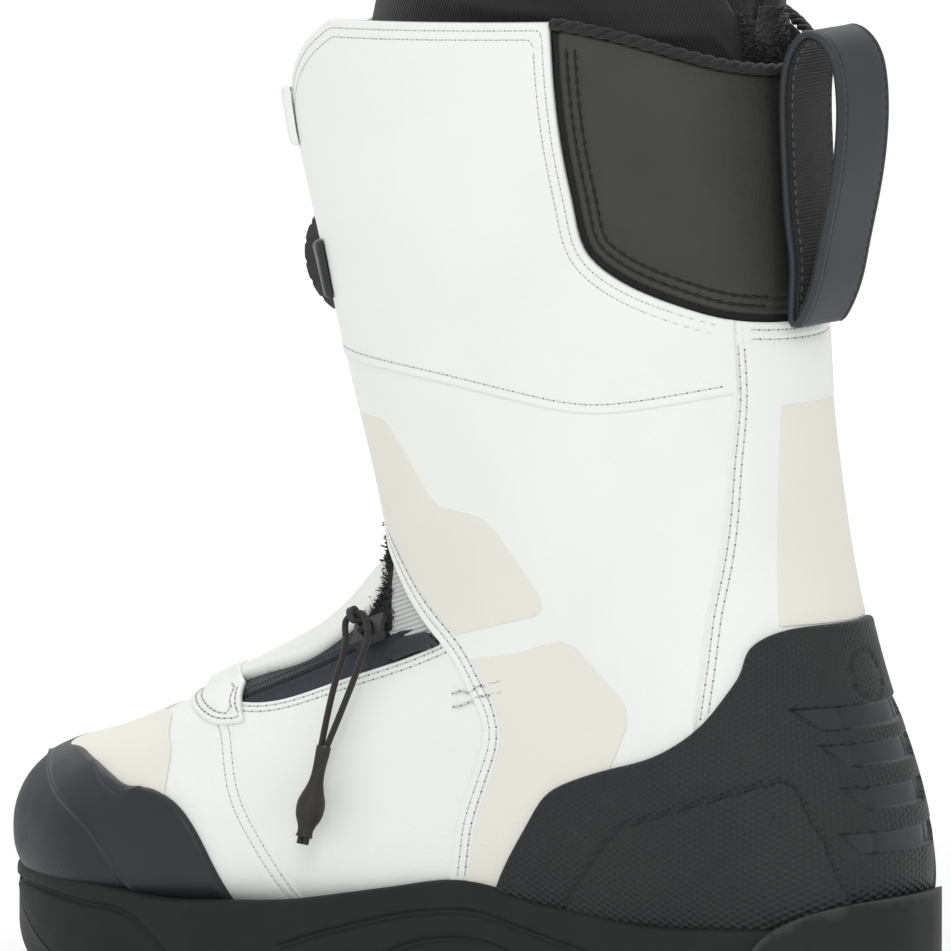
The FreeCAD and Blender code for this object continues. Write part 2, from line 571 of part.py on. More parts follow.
def zipper(r):
    t, w, n, length = zipper_frame()
    tape = layer(-1.5, -0.2).common(r["zipper"]).cut(r["shroud"]).cut(r["vamp"]).cut(MADE["throat_gusset"])
    above = local_block(ZIP_START, t, w, n, (-40, 0.01, -40), (90, 60, 40))
    below = local_block(ZIP_START, t, w, n, (-40, -60, -40), (90, -0.01, 40))
    upper_sign = 1 if w.z > 0 else -1
    inner = skin(-1.5)
    for name, region, side in (("upper", above if upper_sign > 0 else below, upper_sign),
                               ("lower", below if upper_sign > 0 else above, -upper_sign)):
        low = (-6, 0.05, -4) if side > 0 else (-6, -1.3, -4)
        high = (TEETH_LENGTH, 1.3, 1.3) if side > 0 else (TEETH_LENGTH, -0.05, 1.3)
        teeth = local_block(ZIP_START, t, w, n, low, high).cut(inner)
        save("zipper_stringer_" + name, tape.common(region).fuse(teeth))

    # slider: a top plate over the teeth with two flanges and a bridge for the tab
    slider = local_block(ZIP_START, t, w, n, (-4.8, -4, 1.0), (4.8, 4, 3.4))
    slider = slider.fuse(local_block(ZIP_START, t, w, n, (-4.8, -4, 0.6), (4.8, -2.2, 1.2)))
    slider = slider.fuse(local_block(ZIP_START, t, w, n, (-4.8, 2.2, 0.6), (4.8, 4, 1.2)))
    slider = slider.cut(local_block(ZIP_START, t, w, n, (-6, -1.7, 0), (6, 1.7, 1.7)))
    pin_at = ZIP_START + n * 5.2
    for s in (-1, 1):
        ear = local_block(ZIP_START, t, w, n, (-1.3, 1.7 * s - 0.5, 3.2), (1.3, 1.7 * s + 0.5, 5.2))
        slider = slider.fuse(ear).fuse(cylinder(pin_at, w, 1.3, 1.7 * s - 0.5, 1.7 * s + 0.5))
    slider = slider.fuse(cylinder(pin_at, w, 0.7, -2.0, 2.0))
    save("zipper_slider", slider)

    # tab: a barrel on the slider's pin and a ring that the cord is folded through
    eye = pin_at + n * TAB_LENGTH
    tab = cylinder(pin_at, w, 1.3, -0.95, 0.95)
    tab = tab.fuse(local_block(pin_at, t, w, n, (-0.9, -0.95, 0), (0.9, 0.95, TAB_LENGTH)))
    tab = tab.fuse(cylinder(eye, t, 2.3, -0.9, 0.9))
    tab = tab.cut(cylinder(pin_at, w, 0.76, -2, 2)).cut(cylinder(eye, t, 1.25, -2, 2))
    save("zipper_pull_tab", tab)
    print("zipper t", t, "w", w, "n", n, "pin", pin_at, "eye", eye)

    # the cord is folded in the eye; its two legs run to the sleeve
    axis = SLEEVE_END - SLEEVE_TOP
    axis.normalize()
    apart = t - axis * t.dot(axis)
    apart.normalize()
    fall = SLEEVE_TOP - eye
    fall = fall - t * fall.dot(t)
    fall.normalize()
    for name, s in (("front", 1), ("rear", -1)):
        # each leg starts in the ring, where the cord is folded
        start = eye + t * (0.02 * s)
        out = eye + t * (2.3 * s)
        over = eye + t * (3.6 * s) + fall * 2.1
        knee = eye + t * (3.9 * s) + fall * 7.5
        top = SLEEVE_TOP + apart * (0.95 * s) - axis * 0.06
        middle = (knee + top) * 0.5 + apart * (0.8 * s) + V(0, 0.5, 0)
        save("puller_cord_" + name, tube([start, out, over, knee, middle, top], CORD_RADIUS, "puller_cord_" + name))
        print("cord", name, [[round(c, 3) for c in p] for p in (start, out, over, knee, middle, top)])

    # moulded sleeve: slim neck, round bulb, short end, with both cord ends showing
    total = (SLEEVE_END - SLEEVE_TOP).Length
    profile = [(2.0, 0), (1.9, 3), (1.9, 9), (2.6, 12), (3.75, 15.5), (3.85, 17.5)]
    profile += [(3.4, 20), (2.5, 22), (2.4, total)]
    curve = Part.BSplineCurve()
    curve.interpolate([V(r_mm, 0, z) for r_mm, z in profile])
    edges = [curve.toShape(), Part.LineSegment(V(2.4, 0, total), V(0, 0, total)).toShape()]
    edges.append(Part.LineSegment(V(0, 0, total), V(0, 0, 0)).toShape())
    edges.append(Part.LineSegment(V(0, 0, 0), V(2.0, 0, 0)).toShape())
    sleeve = Part.Face(Part.Wire(edges)).revolve(V(0, 0, 0), V(0, 0, 1), 360)
    sleeve.Placement = FreeCAD.Placement(SLEEVE_TOP + axis * 0.06, FreeCAD.Rotation(V(0, 0, 1), axis))
    end = SLEEVE_END + axis * 0.02
    for s in (-1, 1):
        sleeve = sleeve.fuse(cylinder(end + apart * (0.95 * s), axis, CORD_RADIUS, -1, 2))
    save("puller_sleeve", sleeve)


def zipper_ends():
    tab = side_region([(50, 83.2), (57, 81.6), (70, 83.5), (84, 86.6)], [(86, 93), (72, 94), (58, 92)], MEDIAL)
    tab = layer(LAYER_GAP, 1.5).common(tab).cut(box(-160, -90, 0, 160, 10, 330))
    save("zipper_end_tab", tab.cut(skin(SHROUD_PROUD + LAYER_GAP).common(shroud_block())))
    stay = side_region([(6.5, 101.8), (-2, 105), (-10.5, 107.9)], [(-5.6, 110.7), (4.5, 107.6), (7, 106.4)], MEDIAL)
    save("zipper_end_strap", layer(LAYER_GAP, 3.4).common(stay))


def shroud_block():
    return side_region(ZIP_UPPER, [(20, 127), (34, 132), (90, 112), (81, 89)])


# ---- dials --------------------------------------------------------------------------------------

def dial(name, v, degrees):
    at = skin_point(v, degrees)
    axis = skin_normal(v, degrees)
    print("dial", name, "at", at, "axis", axis)
    base = cylinder(at, axis, 16.5, -8, 2.0).cut(skin(LAYER_GAP))
    base = base.fuse(cylinder(at, axis, 12.5, 1.5, 6.0))
    base = base.cut(cylinder(at, axis, 8.4, 1.0, 7)).fuse(cylinder(at, axis, 2.4, 0.8, 1.4))
    base = base.cut(cylinder(at, axis, 1.85, 0.9, 8))
    save("dial_base_" + name, base.Solids[0] if len(base.Solids) == 1 else max(base.Solids, key=lambda s: s.Volume))

    spool = ring_solid(at, axis, 2.0, 8.0, 1.5, 5.8)
    spool = spool.cut(ring_solid(at, axis, 5.6, 9.0, 2.6, 4.7))
    save("dial_spool_" + name, spool)

    disc = ring_solid(at, axis, 2.0, 11.6, 6.2, 7.4)
    side = perpendicular(axis)
    for i in range(12):
        tooth = cylinder(at + turned(side, axis, 30 * i) * 12.2, axis, 1.2, 6, 8)
        disc = disc.cut(tooth)
    save("dial_pawl_disc_" + name, disc)

    knob = cylinder(at, axis, KNOB_RADIUS, 3.4, KNOB_TOP)
    knob = knob.cut(cylinder(at, axis, 13.0, 3.0, 7.8)).cut(cylinder(at, axis, 3.8, 8.8, 13))
    knob = knob.cut(cylinder(at, axis, 2.1, 3, 13))
    save("dial_knob_" + name, knob)
    grip = ring_solid(at, axis, KNOB_RADIUS + 0.02, 16.3, 4.2, 11.2)
    for i in range(18):
        grip = grip.cut(cylinder(at + turned(side, axis, 20 * i) * 17.0, axis, 1.1, 4, 12))
    save("dial_grip_" + name, grip)

    screw = cylinder(at, axis, 1.8, 0.95, 11.1).fuse(cylinder(at, axis, 3.4, 11.1, 12.6))
    slot = local_block(at, side, axis.cross(side), axis, (-2.4, -0.4, 11.8), (2.4, 0.4, 13))
    save("dial_screw_" + name, screw.cut(slot))
    return at, axis


def perpendicular(axis):
    side = axis.cross(V(0, 0, 1))
    side.normalize()
    return side


def turned(vector, axis, degrees):
    return FreeCAD.Rotation(axis, degrees).multVec(vector)


def lace(name, v, degrees):
    """Loop of cable from the dial to a guide on the medial flap and back."""
    top = v + 1.05
    low = v - 1.05
    start = 6.0 if name == "lower" else -1.0
    mid = 14.0 if name == "lower" else 10.0
    rise = 1.9
    points = [skin_point(top, start, rise), skin_point(top, mid, rise), skin_point(top, 24, rise)]
    points.append(skin_point(v, 31, rise))
    points += [skin_point(low, 24, rise), skin_point(low, mid, rise), skin_point(low, start, rise)]
    at = skin_point(v, degrees)
    axis = skin_normal(v, degrees)
    cable = tube(points, LACE_RADIUS, "lace_" + name)
    cable = cable.cut(cylinder(at, axis, 16.6, -4, 13))
    save("lace_" + name, cable)

    normal = skin_normal(v, 28)
    centre = skin_point(v, 28, 0.05)
    up = V(0, 0, 1) - normal * normal.z
    up.normalize()
    out = up.cross(normal)
    guide = local_block(centre, out, up, normal, (-5.5, -8.5, -2.5), (5.5, 8.5, 3.6)).cut(skin(LAYER_GAP))
    channel = tube(points, LACE_RADIUS + 0.25, "guide channel")
    save("lace_guide_" + name, guide.cut(channel))


# ---- liner --------------------------------------------------------------------------------------

def liner():
    below_top = polygon_block([(90, LINER_TOP_FRONT), (20, LINER_TOP_FRONT), (-100, LINER_TOP_BACK),
                               (-160, LINER_TOP_BACK), (-160, -5), (90, -5)], -90, 90)
    wall = liner_layer(-LINER_IN, -LINER_OUT)
    save("liner_boot", wall.common(box(-160, -90, -5, 160, 90, LINER_SPLIT)))
    save("liner_cuff", wall.common(box(-160, -90, LINER_SPLIT + 0.05, 160, 90, 330)).common(below_top))
    tongue_zone = side_region([(4, 200), (2, 150), (6, 118), (30, 100), (60, 80)], [(90, 84), (90, 298), (4, 298)])
    tongue = liner_layer(-13.2, -LINER_IN - 0.1).common(tongue_zone)
    save("liner_tongue", tongue.common(box(-20, -24, 60, 100, 24, 298)))
    fleece = liner_layer(-12.6, -LINER_IN - 0.1).common(box(-160, -90, 236, -44, 90, 330))
    save("liner_fleece", fleece.common(below_top))
    foot = liner_layer(-13.6, -LINER_IN - 0.1).common(box(-118, -90, 20, 122, 90, 42))
    save("footbed", foot)


# ---- build --------------------------------------------------------------------------------------

sole_unit()
regions = shell()
overlays(regions)
rubber(regions)
pull_loop()
zipper(regions)
zipper_ends()
for dial_name, (station, angle) in DIALS.items():
    dial(dial_name, station, angle)
    lace(dial_name, station, angle)
liner()

whole = FreeCAD.BoundBox()
for piece, shape in MADE.items():
    edge = shape.optimalBoundingBox()
    print(piece, [round(e, 1) for e in (edge.XMin, edge.XMax, edge.YMin, edge.YMax, edge.ZMin, edge.ZMax)])
    whole.add(edge)
print("pieces", len(MADE), "box", whole)
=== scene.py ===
import math
import bpy
import numpy as np
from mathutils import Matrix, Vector


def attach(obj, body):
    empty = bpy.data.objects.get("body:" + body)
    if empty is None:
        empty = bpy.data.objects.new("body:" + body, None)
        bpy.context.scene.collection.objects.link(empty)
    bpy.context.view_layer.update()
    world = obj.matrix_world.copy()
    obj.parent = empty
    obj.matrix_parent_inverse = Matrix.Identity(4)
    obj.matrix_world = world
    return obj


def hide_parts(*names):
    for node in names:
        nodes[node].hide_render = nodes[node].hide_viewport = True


# Snowboard boot, right foot. The shell, rubber, liner and straps are built here on the same skin as the
# CAD part; hard parts keep their CAD mesh. Lengths are millimetres until a mesh is made.

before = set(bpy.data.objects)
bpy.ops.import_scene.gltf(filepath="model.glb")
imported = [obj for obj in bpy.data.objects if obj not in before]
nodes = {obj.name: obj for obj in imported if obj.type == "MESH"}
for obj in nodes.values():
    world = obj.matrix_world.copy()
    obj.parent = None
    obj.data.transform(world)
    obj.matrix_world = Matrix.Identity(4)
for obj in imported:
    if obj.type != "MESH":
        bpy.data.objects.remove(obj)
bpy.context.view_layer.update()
scene = bpy.context.scene
MM = 0.001

VIEW_TURN = 32.0         # degrees behind a pure side view
VIEW_RISE = 6.5
CAMERA_DISTANCE = 8.0    # metres: far away, so that the view is almost parallel
CAMERA_LENS = 1111.4
CAMERA_UP = 0.1489
CAMERA_RIGHT = -0.0005


# ---- camera -------------------------------------------------------------------------------------

def camera():
    """The scene's camera, a long lens aimed at the middle of the boot."""
    turn, rise = math.radians(VIEW_TURN), math.radians(VIEW_RISE)
    back = Vector((-math.sin(turn) * math.cos(rise), math.cos(turn) * math.cos(rise), math.sin(rise)))
    right = Vector((-math.cos(turn), -math.sin(turn), 0))
    up = back.cross(right)
    data = bpy.data.cameras.new("camera")
    data.sensor_width = 36
    data.lens = CAMERA_LENS
    data.clip_end = 100
    cam = bpy.data.objects.new("camera", data)
    scene.collection.objects.link(cam)
    cam.location = back * CAMERA_DISTANCE + up * CAMERA_UP + right * CAMERA_RIGHT
    cam.rotation_mode = "QUATERNION"
    cam.rotation_quaternion = (-back).to_track_quat("-Z", "Y")
    scene.camera = cam


camera()


# ---- materials ----------------------------------------------------------------------------------

def srgb(r, g, b):
    """A colour given as 0 to 255, as the linear colour that shaders take."""
    return tuple(((c / 255 + 0.055) / 1.055) ** 2.4 if c > 10 else c / 255 / 12.92 for c in (r, g, b)) + (1,)


LOOK = {}


class Look:
    """One material: base colour with variation, waves or noise as bump, and wear on its edges."""

    def __init__(self, name, rgb, rough=0.5, **sockets):
        self.name = name
        self.mat = bpy.data.materials.new(name)
        self.mat.use_nodes = True
        self.tree = self.mat.node_tree
        self.shader = self.tree.nodes["Principled BSDF"]
        self.rgb = srgb(*rgb)
        self.shader.inputs["Base Color"].default_value = self.rgb
        self.shader.inputs["Roughness"].default_value = rough
        for key, value in sockets.items():
            self.shader.inputs[key.replace("_", " ")].default_value = value
        self.heights = []
        self.mat.diffuse_color = self.rgb

    def node(self, kind, **given):
        made = self.tree.nodes.new("ShaderNode" + kind)
        for key, value in given.items():
            setattr(made, key, value)
        return made

    def link(self, a, b):
        self.tree.links.new(a, b)

    def math(self, operation, a, b=None):
        made = self.node("Math", operation=operation)
        for socket, value in zip(made.inputs, (a, b)):
            if value is None:
                continue
            if isinstance(value, (int, float)):
                socket.default_value = value
            else:
                self.link(value, socket)
        return made.outputs[0]

    def place(self, uv=False):
        made = self.node("TexCoord")
        return made.outputs["UV" if uv else "Object"]

    def noise(self, size, detail=3.0, uv=False):
        """Noise with blotches about size mm across."""
        made = self.node("TexNoise")
        made.inputs["Scale"].default_value = 1 / size if uv else 1000 / size
        made.inputs["Detail"].default_value = detail
        self.link(self.place(uv), made.inputs["Vector"])
        return made.outputs["Fac"]

    def cells(self, size, uv=False):
        made = self.node("TexVoronoi")
        made.inputs["Scale"].default_value = 1 / size if uv else 1000 / size
        self.link(self.place(uv), made.inputs["Vector"])
        return made.outputs["Distance"]

    def wave(self, direction, pitch, uv=True):
        """Cosine along a direction, one crest each pitch mm."""
        dot = self.node("VectorMath", operation="DOT_PRODUCT")
        scale = 2 * math.pi / pitch * (1 if uv else 1000)
        size = math.sqrt(sum(c * c for c in direction))
        dot.inputs[1].default_value = tuple(c * scale / size for c in direction)
        self.link(self.place(uv), dot.inputs[0])
        return self.math("COSINE", dot.outputs["Value"])

    def lattice(self, directions, pitch, uv=True):
        total = None
        for direction in directions:
            crest = self.wave(direction, pitch, uv)
            total = crest if total is None else self.math("ADD", total, crest)
        return total

    def bump(self, height, depth, strength=1.0):
        """Adds a height, depth mm for each unit of it."""
        self.heights.append((height, depth, strength))
        return self

    def vary(self, factor, rgb, low=0.35, high=0.75, amount=1.0):
        """Mixes another colour in where the factor is high."""
        ramp = self.node("MapRange")
        ramp.inputs["From Min"].default_value = low
        ramp.inputs["From Max"].default_value = high
        ramp.inputs["To Max"].default_value = amount
        self.link(factor, ramp.inputs["Value"])
        mix = self.node("Mix", data_type="RGBA")
        base = self.shader.inputs["Base Color"]
        if base.links:
            self.link(base.links[0].from_socket, mix.inputs["A"])
        else:
            mix.inputs["A"].default_value = self.rgb
        mix.inputs["B"].default_value = srgb(*rgb)
        self.link(ramp.outputs[0], mix.inputs["Factor"])
        self.link(mix.outputs["Result"], base)
        return self

    def wear(self, rgb, amount=0.5):
        """Rubbed colour on sharp edges."""
        point = self.node("NewGeometry")
        return self.vary(point.outputs["Pointiness"], rgb, 0.53, 0.6, amount)

    def rough(self, factor, low, high):
        ramp = self.node("MapRange")
        ramp.inputs["To Min"].default_value = low
        ramp.inputs["To Max"].default_value = high
        self.link(factor, ramp.inputs["Value"])
        self.link(ramp.outputs[0], self.shader.inputs["Roughness"])
        return self

    def done(self):
        last = None
        for height, depth, strength in self.heights:
            made = self.node("Bump")
            made.inputs["Distance"].default_value = depth * MM
            made.inputs["Strength"].default_value = strength
            self.link(height, made.inputs["Height"])
            if last is not None:
                self.link(last, made.inputs["Normal"])
            last = made.outputs["Normal"]
        if last is not None:
            self.link(last, self.shader.inputs["Normal"])
        LOOK[self.name] = self.mat
        return self.mat


HEX = [(1, 0, 0), (0.5, 0.866, 0), (-0.5, 0.866, 0)]


def make_looks():
    """Every material of the boot, by name in LOOK."""
    def coated(name, rgb, other, rough=0.42):
        """Coated synthetic leather: fine pebble, soft buckles and faint shade changes."""
        m = Look(name, rgb, rough, Specular_IOR_Level=0.4, Coat_Weight=0.05, Coat_Roughness=0.35)
        m.vary(m.noise(38), other, 0.4, 0.75, 0.5)
        m.vary(m.noise(0.9, 2), other, 0.5, 0.9, 0.25)
        m.rough(m.noise(6), rough - 0.07, rough + 0.12)
        m.bump(m.noise(24, 2), 1.1, 0.22).bump(m.cells(0.85), 0.09, 0.55).bump(m.noise(0.3, 2), 0.04, 0.5)
        m.done()

    coated("white_upper", (243, 246, 243), (234, 237, 233))
    coated("offwhite_overlay", (237, 235, 225), (229, 227, 216), 0.5)
    coated("white_padded", (241, 243, 238), (228, 230, 225), 0.5)

    m = Look("rubber_hex", (38, 42, 42), 0.55, Specular_IOR_Level=0.35)
    m.vary(m.noise(26), (32, 35, 38), 0.35, 0.7, 0.8).vary(m.noise(1.4, 2), (48, 51, 50), 0.55, 0.85, 0.4)
    m.rough(m.noise(9), 0.42, 0.62)
    m.bump(m.lattice(HEX, 1.5), 0.1, 0.8).bump(m.noise(0.35, 2), 0.05, 0.5)
    m.done()

    m = Look("rubber_hatch", (36, 39, 43), 0.5, Specular_IOR_Level=0.4)
    m.vary(m.noise(26), (30, 33, 38), 0.35, 0.7, 0.8).rough(m.noise(9), 0.42, 0.6)
    m.bump(m.wave((1, 0.75, 0), 0.95), 0.035, 0.6).bump(m.noise(0.4, 2), 0.05, 0.5)
    m.done()

    m = Look("rubber_smooth", (36, 40, 43), 0.46, Specular_IOR_Level=0.45)
    m.vary(m.noise(20), (30, 33, 38), 0.35, 0.7, 0.8).rough(m.noise(9), 0.38, 0.54)
    m.bump(m.noise(0.6, 2), 0.03, 0.5)
    m.done()

    m = Look("sole_rubber", (34, 36, 35), 0.6, Specular_IOR_Level=0.3)
    m.vary(m.noise(20), (29, 31, 32), 0.35, 0.7, 0.8).wear((80, 82, 80), 0.5).rough(m.noise(8), 0.5, 0.75)
    m.bump(m.noise(0.5, 3), 0.08, 0.6)
    m.done()

    m = Look("midsole_foam", (36, 39, 38), 0.68, Specular_IOR_Level=0.25)
    m.vary(m.noise(22), (31, 34, 34), 0.35, 0.7, 0.8).wear((74, 77, 76), 0.4).rough(m.noise(8), 0.58, 0.78)
    m.bump(m.noise(0.6, 3), 0.07, 0.6).bump(m.cells(0.5), 0.04, 0.4)
    m.done()

    m = Look("collar_fabric", (51, 51, 47), 0.44, Sheen_Weight=0.12, Sheen_Roughness=0.4)
    m.vary(m.noise(16), (43, 43, 40), 0.35, 0.75, 0.7)
    m.bump(m.lattice([(1, 0, 0), (0, 1, 0)], 0.42), 0.03, 0.7).bump(m.noise(14, 2), 0.9, 0.25)
    m.done()

    m = Look("lining_black", (27, 27, 27), 0.8)
    m.vary(m.noise(5), (20, 20, 20)).bump(m.lattice([(1, 0, 0), (0, 1, 0)], 0.8), 0.08, 0.8)
    m.done()

    m = Look("binding_fabric", (25, 25, 24), 0.75, Sheen_Weight=0.15)
    m.vary(m.noise(1.2, 2), (42, 42, 40), 0.5, 0.8, 0.7).bump(m.noise(0.45, 3), 0.14, 0.9)
    m.done()

    m = Look("strap_coated", (47, 51, 56), 0.5, Specular_IOR_Level=0.4)
    m.vary(m.noise(18), (40, 43, 48), 0.35, 0.75, 0.8).wear((80, 82, 82), 0.35)
    m.bump(m.noise(0.5, 3), 0.05, 0.6).bump(m.noise(11, 2), 0.5, 0.25)
    m.done()

    m = Look("webbing_black", (30, 31, 29), 0.75, Sheen_Weight=0.2)
    m.vary(m.wave((0, 1, 0), 1.05), (19, 19, 19), -0.2, 0.9, 0.8)
    m.bump(m.wave((0, 1, 0), 1.05), 0.16, 0.9).bump(m.wave((1, 0, 0), 0.55), 0.05, 0.6)
    m.done()

    m = Look("tongue_fabric", (38, 39, 40), 0.78, Sheen_Weight=0.15)
    m.vary(m.cells(1.1), (22, 22, 23), 0.2, 0.6, 0.8).bump(m.cells(1.1), 0.25, 0.9)
    m.done()

    m = Look("gusset_white", (226, 228, 225), 0.6)
    m.vary(m.wave((0.35, 0.05, 1), 1.25, False), (176, 179, 178), -0.4, 1.0, 0.8)
    m.bump(m.wave((0.35, 0.05, 1), 1.25, False), 0.22, 0.9).bump(m.noise(0.4), 0.06, 0.6)
    m.done()

    m = Look("zipper_tape", (52, 58, 65), 0.7)
    along = (0.92, 0.033, -0.39)
    m.vary(m.wave(along, 0.92, False), (38, 42, 47), -0.1, 1.0, 0.75)
    m.bump(m.wave(along, 0.92, False), 0.12, 0.9).bump(m.noise(0.4), 0.06, 0.6)
    m.done()

    m = Look("zipper_coil", (44, 47, 51), 0.45)
    m.vary(m.noise(1.5), (60, 64, 68)).bump(m.noise(0.3), 0.03, 0.5)
    m.done()

    m = Look("zipper_metal", (20, 21, 22), 0.42)
    m.vary(m.noise(1.5), (30, 31, 32)).wear((90, 90, 88), 0.15).bump(m.noise(0.5), 0.03, 0.5)
    m.done()

    m = Look("puller_cord", (34, 32, 27), 0.7, Sheen_Weight=0.2)
    m.vary(m.lattice([(1, 1, 0), (-1, 1, 0)], 0.11), (21, 20, 17), -0.6, 1.6, 0.8)
    m.bump(m.noise(0.3, 3), 0.12, 0.9)
    m.done()

    m = Look("puller_sleeve", (42, 40, 35), 0.62)
    m.vary(m.noise(3), (33, 32, 28)).wear((74, 72, 66), 0.5).bump(m.noise(0.5, 3), 0.08, 0.7)
    m.done()

    def plastic(name, rgb, other, rough, grain=0.25):
        m = Look(name, rgb, rough)
        m.vary(m.noise(7), other, 0.35, 0.75, 0.7).wear((84, 85, 85), 0.15)
        m.rough(m.noise(5), rough - 0.06, rough + 0.1).bump(m.noise(grain, 2), 0.03, 0.6)
        m.done()

    plastic("dial_plastic", (33, 34, 35), (27, 28, 30), 0.42)
    plastic("dial_grip", (28, 29, 30), (23, 24, 25), 0.66, 0.5)
    plastic("dial_inner", (90, 92, 94), (78, 80, 82), 0.5)
    plastic("shank_plastic", (58, 60, 62), (50, 52, 54), 0.5)
    plastic("gel", (92, 128, 150), (80, 112, 138), 0.25)
    plastic("board_fibre", (126, 112, 92), (108, 96, 80), 0.85, 0.8)

    m = Look("steel", (150, 152, 154), 0.28, Metallic=1.0)
    m.vary(m.noise(2), (120, 122, 124)).bump(m.noise(0.4), 0.02, 0.5)
    m.done()

    m = Look("lace_cable", (122, 125, 128), 0.35, Metallic=0.9)
    m.vary(m.wave((1, 1, 1), 0.5, False), (70, 72, 75), -0.4, 1, 0.8)
    m.bump(m.wave((1, 1, 1), 0.5, False), 0.05, 0.8)
    m.done()

    m = Look("liner_fabric", (27, 27, 28), 0.72, Sheen_Weight=0.12, Sheen_Roughness=0.4)
    m.vary(m.wave((1, 0.42, 0), 1.0), (14, 14, 15), -0.2, 1.0,
           0.75).vary(m.noise(14), (34, 34, 34), 0.4, 0.8, 0.6)
    m.bump(m.wave((1, 0.42, 0), 1.0), 0.09, 0.9).bump(m.noise(12, 2), 1.0, 0.25)
    m.done()

    m = Look("fleece", (19, 19, 19), 0.95, Sheen_Weight=0.15, Sheen_Roughness=0.6)
    m.vary(m.noise(1.6, 4), (8, 8, 8), 0.4, 0.7, 0.9).bump(m.noise(1.3, 5), 0.7, 1.0)
    m.done()

    m = Look("footbed_foam", (70, 72, 76), 0.85, Sheen_Weight=0.2)
    m.vary(m.noise(2.2), (58, 60, 64)).bump(m.lattice(HEX, 2.4), 0.12, 0.7).bump(m.noise(0.5), 0.06, 0.6)
    m.done()

    def thread(name, rgb, other):
        m = Look(name, rgb, 0.6)
        m.vary(m.noise(0.5, 2), other, 0.4, 0.7, 0.8).bump(m.noise(0.22, 2), 0.06, 0.8)
        m.done()

    # white thread given a grey tone: partly its own colour, partly painted shade for the shadow each stitch casts
    thread("thread_white_with_painted_shade", (214, 217, 213), (170, 173, 171))
    thread("thread_black", (12, 12, 12), (24, 24, 23))
    thread("thread_grey", (104, 106, 104), (78, 80, 80))
    # the two hole materials below are painted shade: grey and near-black dots standing for the shade in each
    # needle hole
    thread("hole_painted_shade_grey", (122, 125, 123), (92, 94, 93))
    thread("hole_painted_shade_black", (9, 9, 9), (16, 16, 16))


make_looks()


# ---- the upper's skin ---------------------------------------------------------------------------

SECTIONS = [
    (135, 57, 134, 41, 12, 8, 2.0, 2.4, 0.1),
    (131, 66, 131, 35, 23, 7, 2.0, 2.6, 0.1),
    (122, 71, 122, 31, 33, 5, 2.1, 3.0, 0.15),
    (106, 76, 106, 28, 43, 3, 2.1, 3.2, 0.2),
    (83, 86, 86, 26, 48.5, 1, 2.1, 3.4, 0.25),
    (60, 97, 62, 26, 49, 0, 2.1, 3.4, 0.25),
    (43, 106, 34, 25, 46.5, 0, 2.1, 3.3, 0.2),
    (33, 114, 0, 24, 43.5, 0, 2.1, 3.2, 0.1),
    (27, 121, -42, 24, 41.5, 0, 2.1, 3.2, 0),
    (23.5, 129, -97, 22.5, 41, 0, 2.1, 3.2, 0),
    (24, 138, -130, 34, 41, 0, 2.1, 2.9, 0),
    (26, 148, -134.5, 62, 41.5, 0, 2.1, 2.4, 0),
    (29, 160, -126, 91, 42, 0, 2.1, 2.1, 0),
    (33, 175, -116, 122, 43, 0, 2.1, 2.1, 0),
    (38, 194, -109, 158, 45.5, 0, 2.1, 2.1, 0),
    (44, 218, -105, 194, 48.5, 0, 2.1, 2.1, 0),
    (50, 244, -102, 228, 52, 0, 2.1, 2.1, 0),
    (54, 268, -101, 258, 54, 0, 2.1, 2.1, 0),
    (57, 288, -101, 285, 55, 0, 2.1, 2.1, 0),
    (58, 304, -101, 303, 56, 0, 2.1, 2.1, 0),
]
LINER_SECTIONS = SECTIONS[:14] + [
    (37, 194, -109, 158, 45.5, 0, 2.1, 2.1, 0),
    (40, 218, -104, 194, 47.5, 0, 2.1, 2.1, 0),
    (38, 244, -100, 228, 49, 0, 2.1, 2.1, 0),
    (33, 268, -97, 258, 49.5, 0, 2.1, 2.1, 0),
    (28, 288, -95.5, 285, 50, 0, 2.1, 2.1, 0),
    (25, 304, -95, 303, 50, 0, 2.1, 2.1, 0),
]


def spline(knots, values):
    """Natural cubic spline through rows of values, as a function of the knot."""
    knots = np.array(knots, float)
    values = np.array(values, float)
    last = len(knots) - 1
    h = np.diff(knots)
    a = np.eye(last + 1)
    b = np.zeros(values.shape)
    for i in range(1, last):
        a[i, i - 1:i + 2] = h[i - 1], 2 * (h[i - 1] + h[i]), h[i]
        b[i] = 3 * ((values[i + 1] - values[i]) / h[i] - (values[i] - values[i - 1]) / h[i - 1])
    c = np.linalg.solve(a, b)

    def at(t):
        t = np.asarray(t, float)
        i = np.clip(np.searchsorted(knots, t, side="right") - 1, 0, last - 1)
        d = (t - knots[i])[..., None]
        g = h[i][..., None]
        slope = (values[i + 1] - values[i]) / g - g * (c[i + 1] + 2 * c[i]) / 3
        return values[i] + d * (slope + d * (c[i] + d * (c[i + 1] - c[i]) / (3 * g)))

    return at


def curve(points, step=1.2):
    """Points about a step apart along a smooth line through the given ones."""
    p = np.array(points, float)
    s = np.concatenate([[0], np.cumsum(np.linalg.norm(np.diff(p, axis=0), axis=1))])
    return spline(s, p)(np.linspace(0, s[-1], max(2, int(s[-1] / step) + 1)))


def section_stations():
    """Distance along the upper of each section."""
    rows = np.array(SECTIONS, float)
    front = np.hypot(*np.diff(rows[:, :2], axis=0).T)
    back = np.hypot(*np.diff(rows[:, 2:4], axis=0).T)
    return np.concatenate([[0], np.cumsum(np.sqrt(np.maximum(1, (front + back) / 2)))])


STATIONS = section_stations()
SHELL = spline(STATIONS, SECTIONS)
LINER = spline(STATIONS, LINER_SECTIONS)


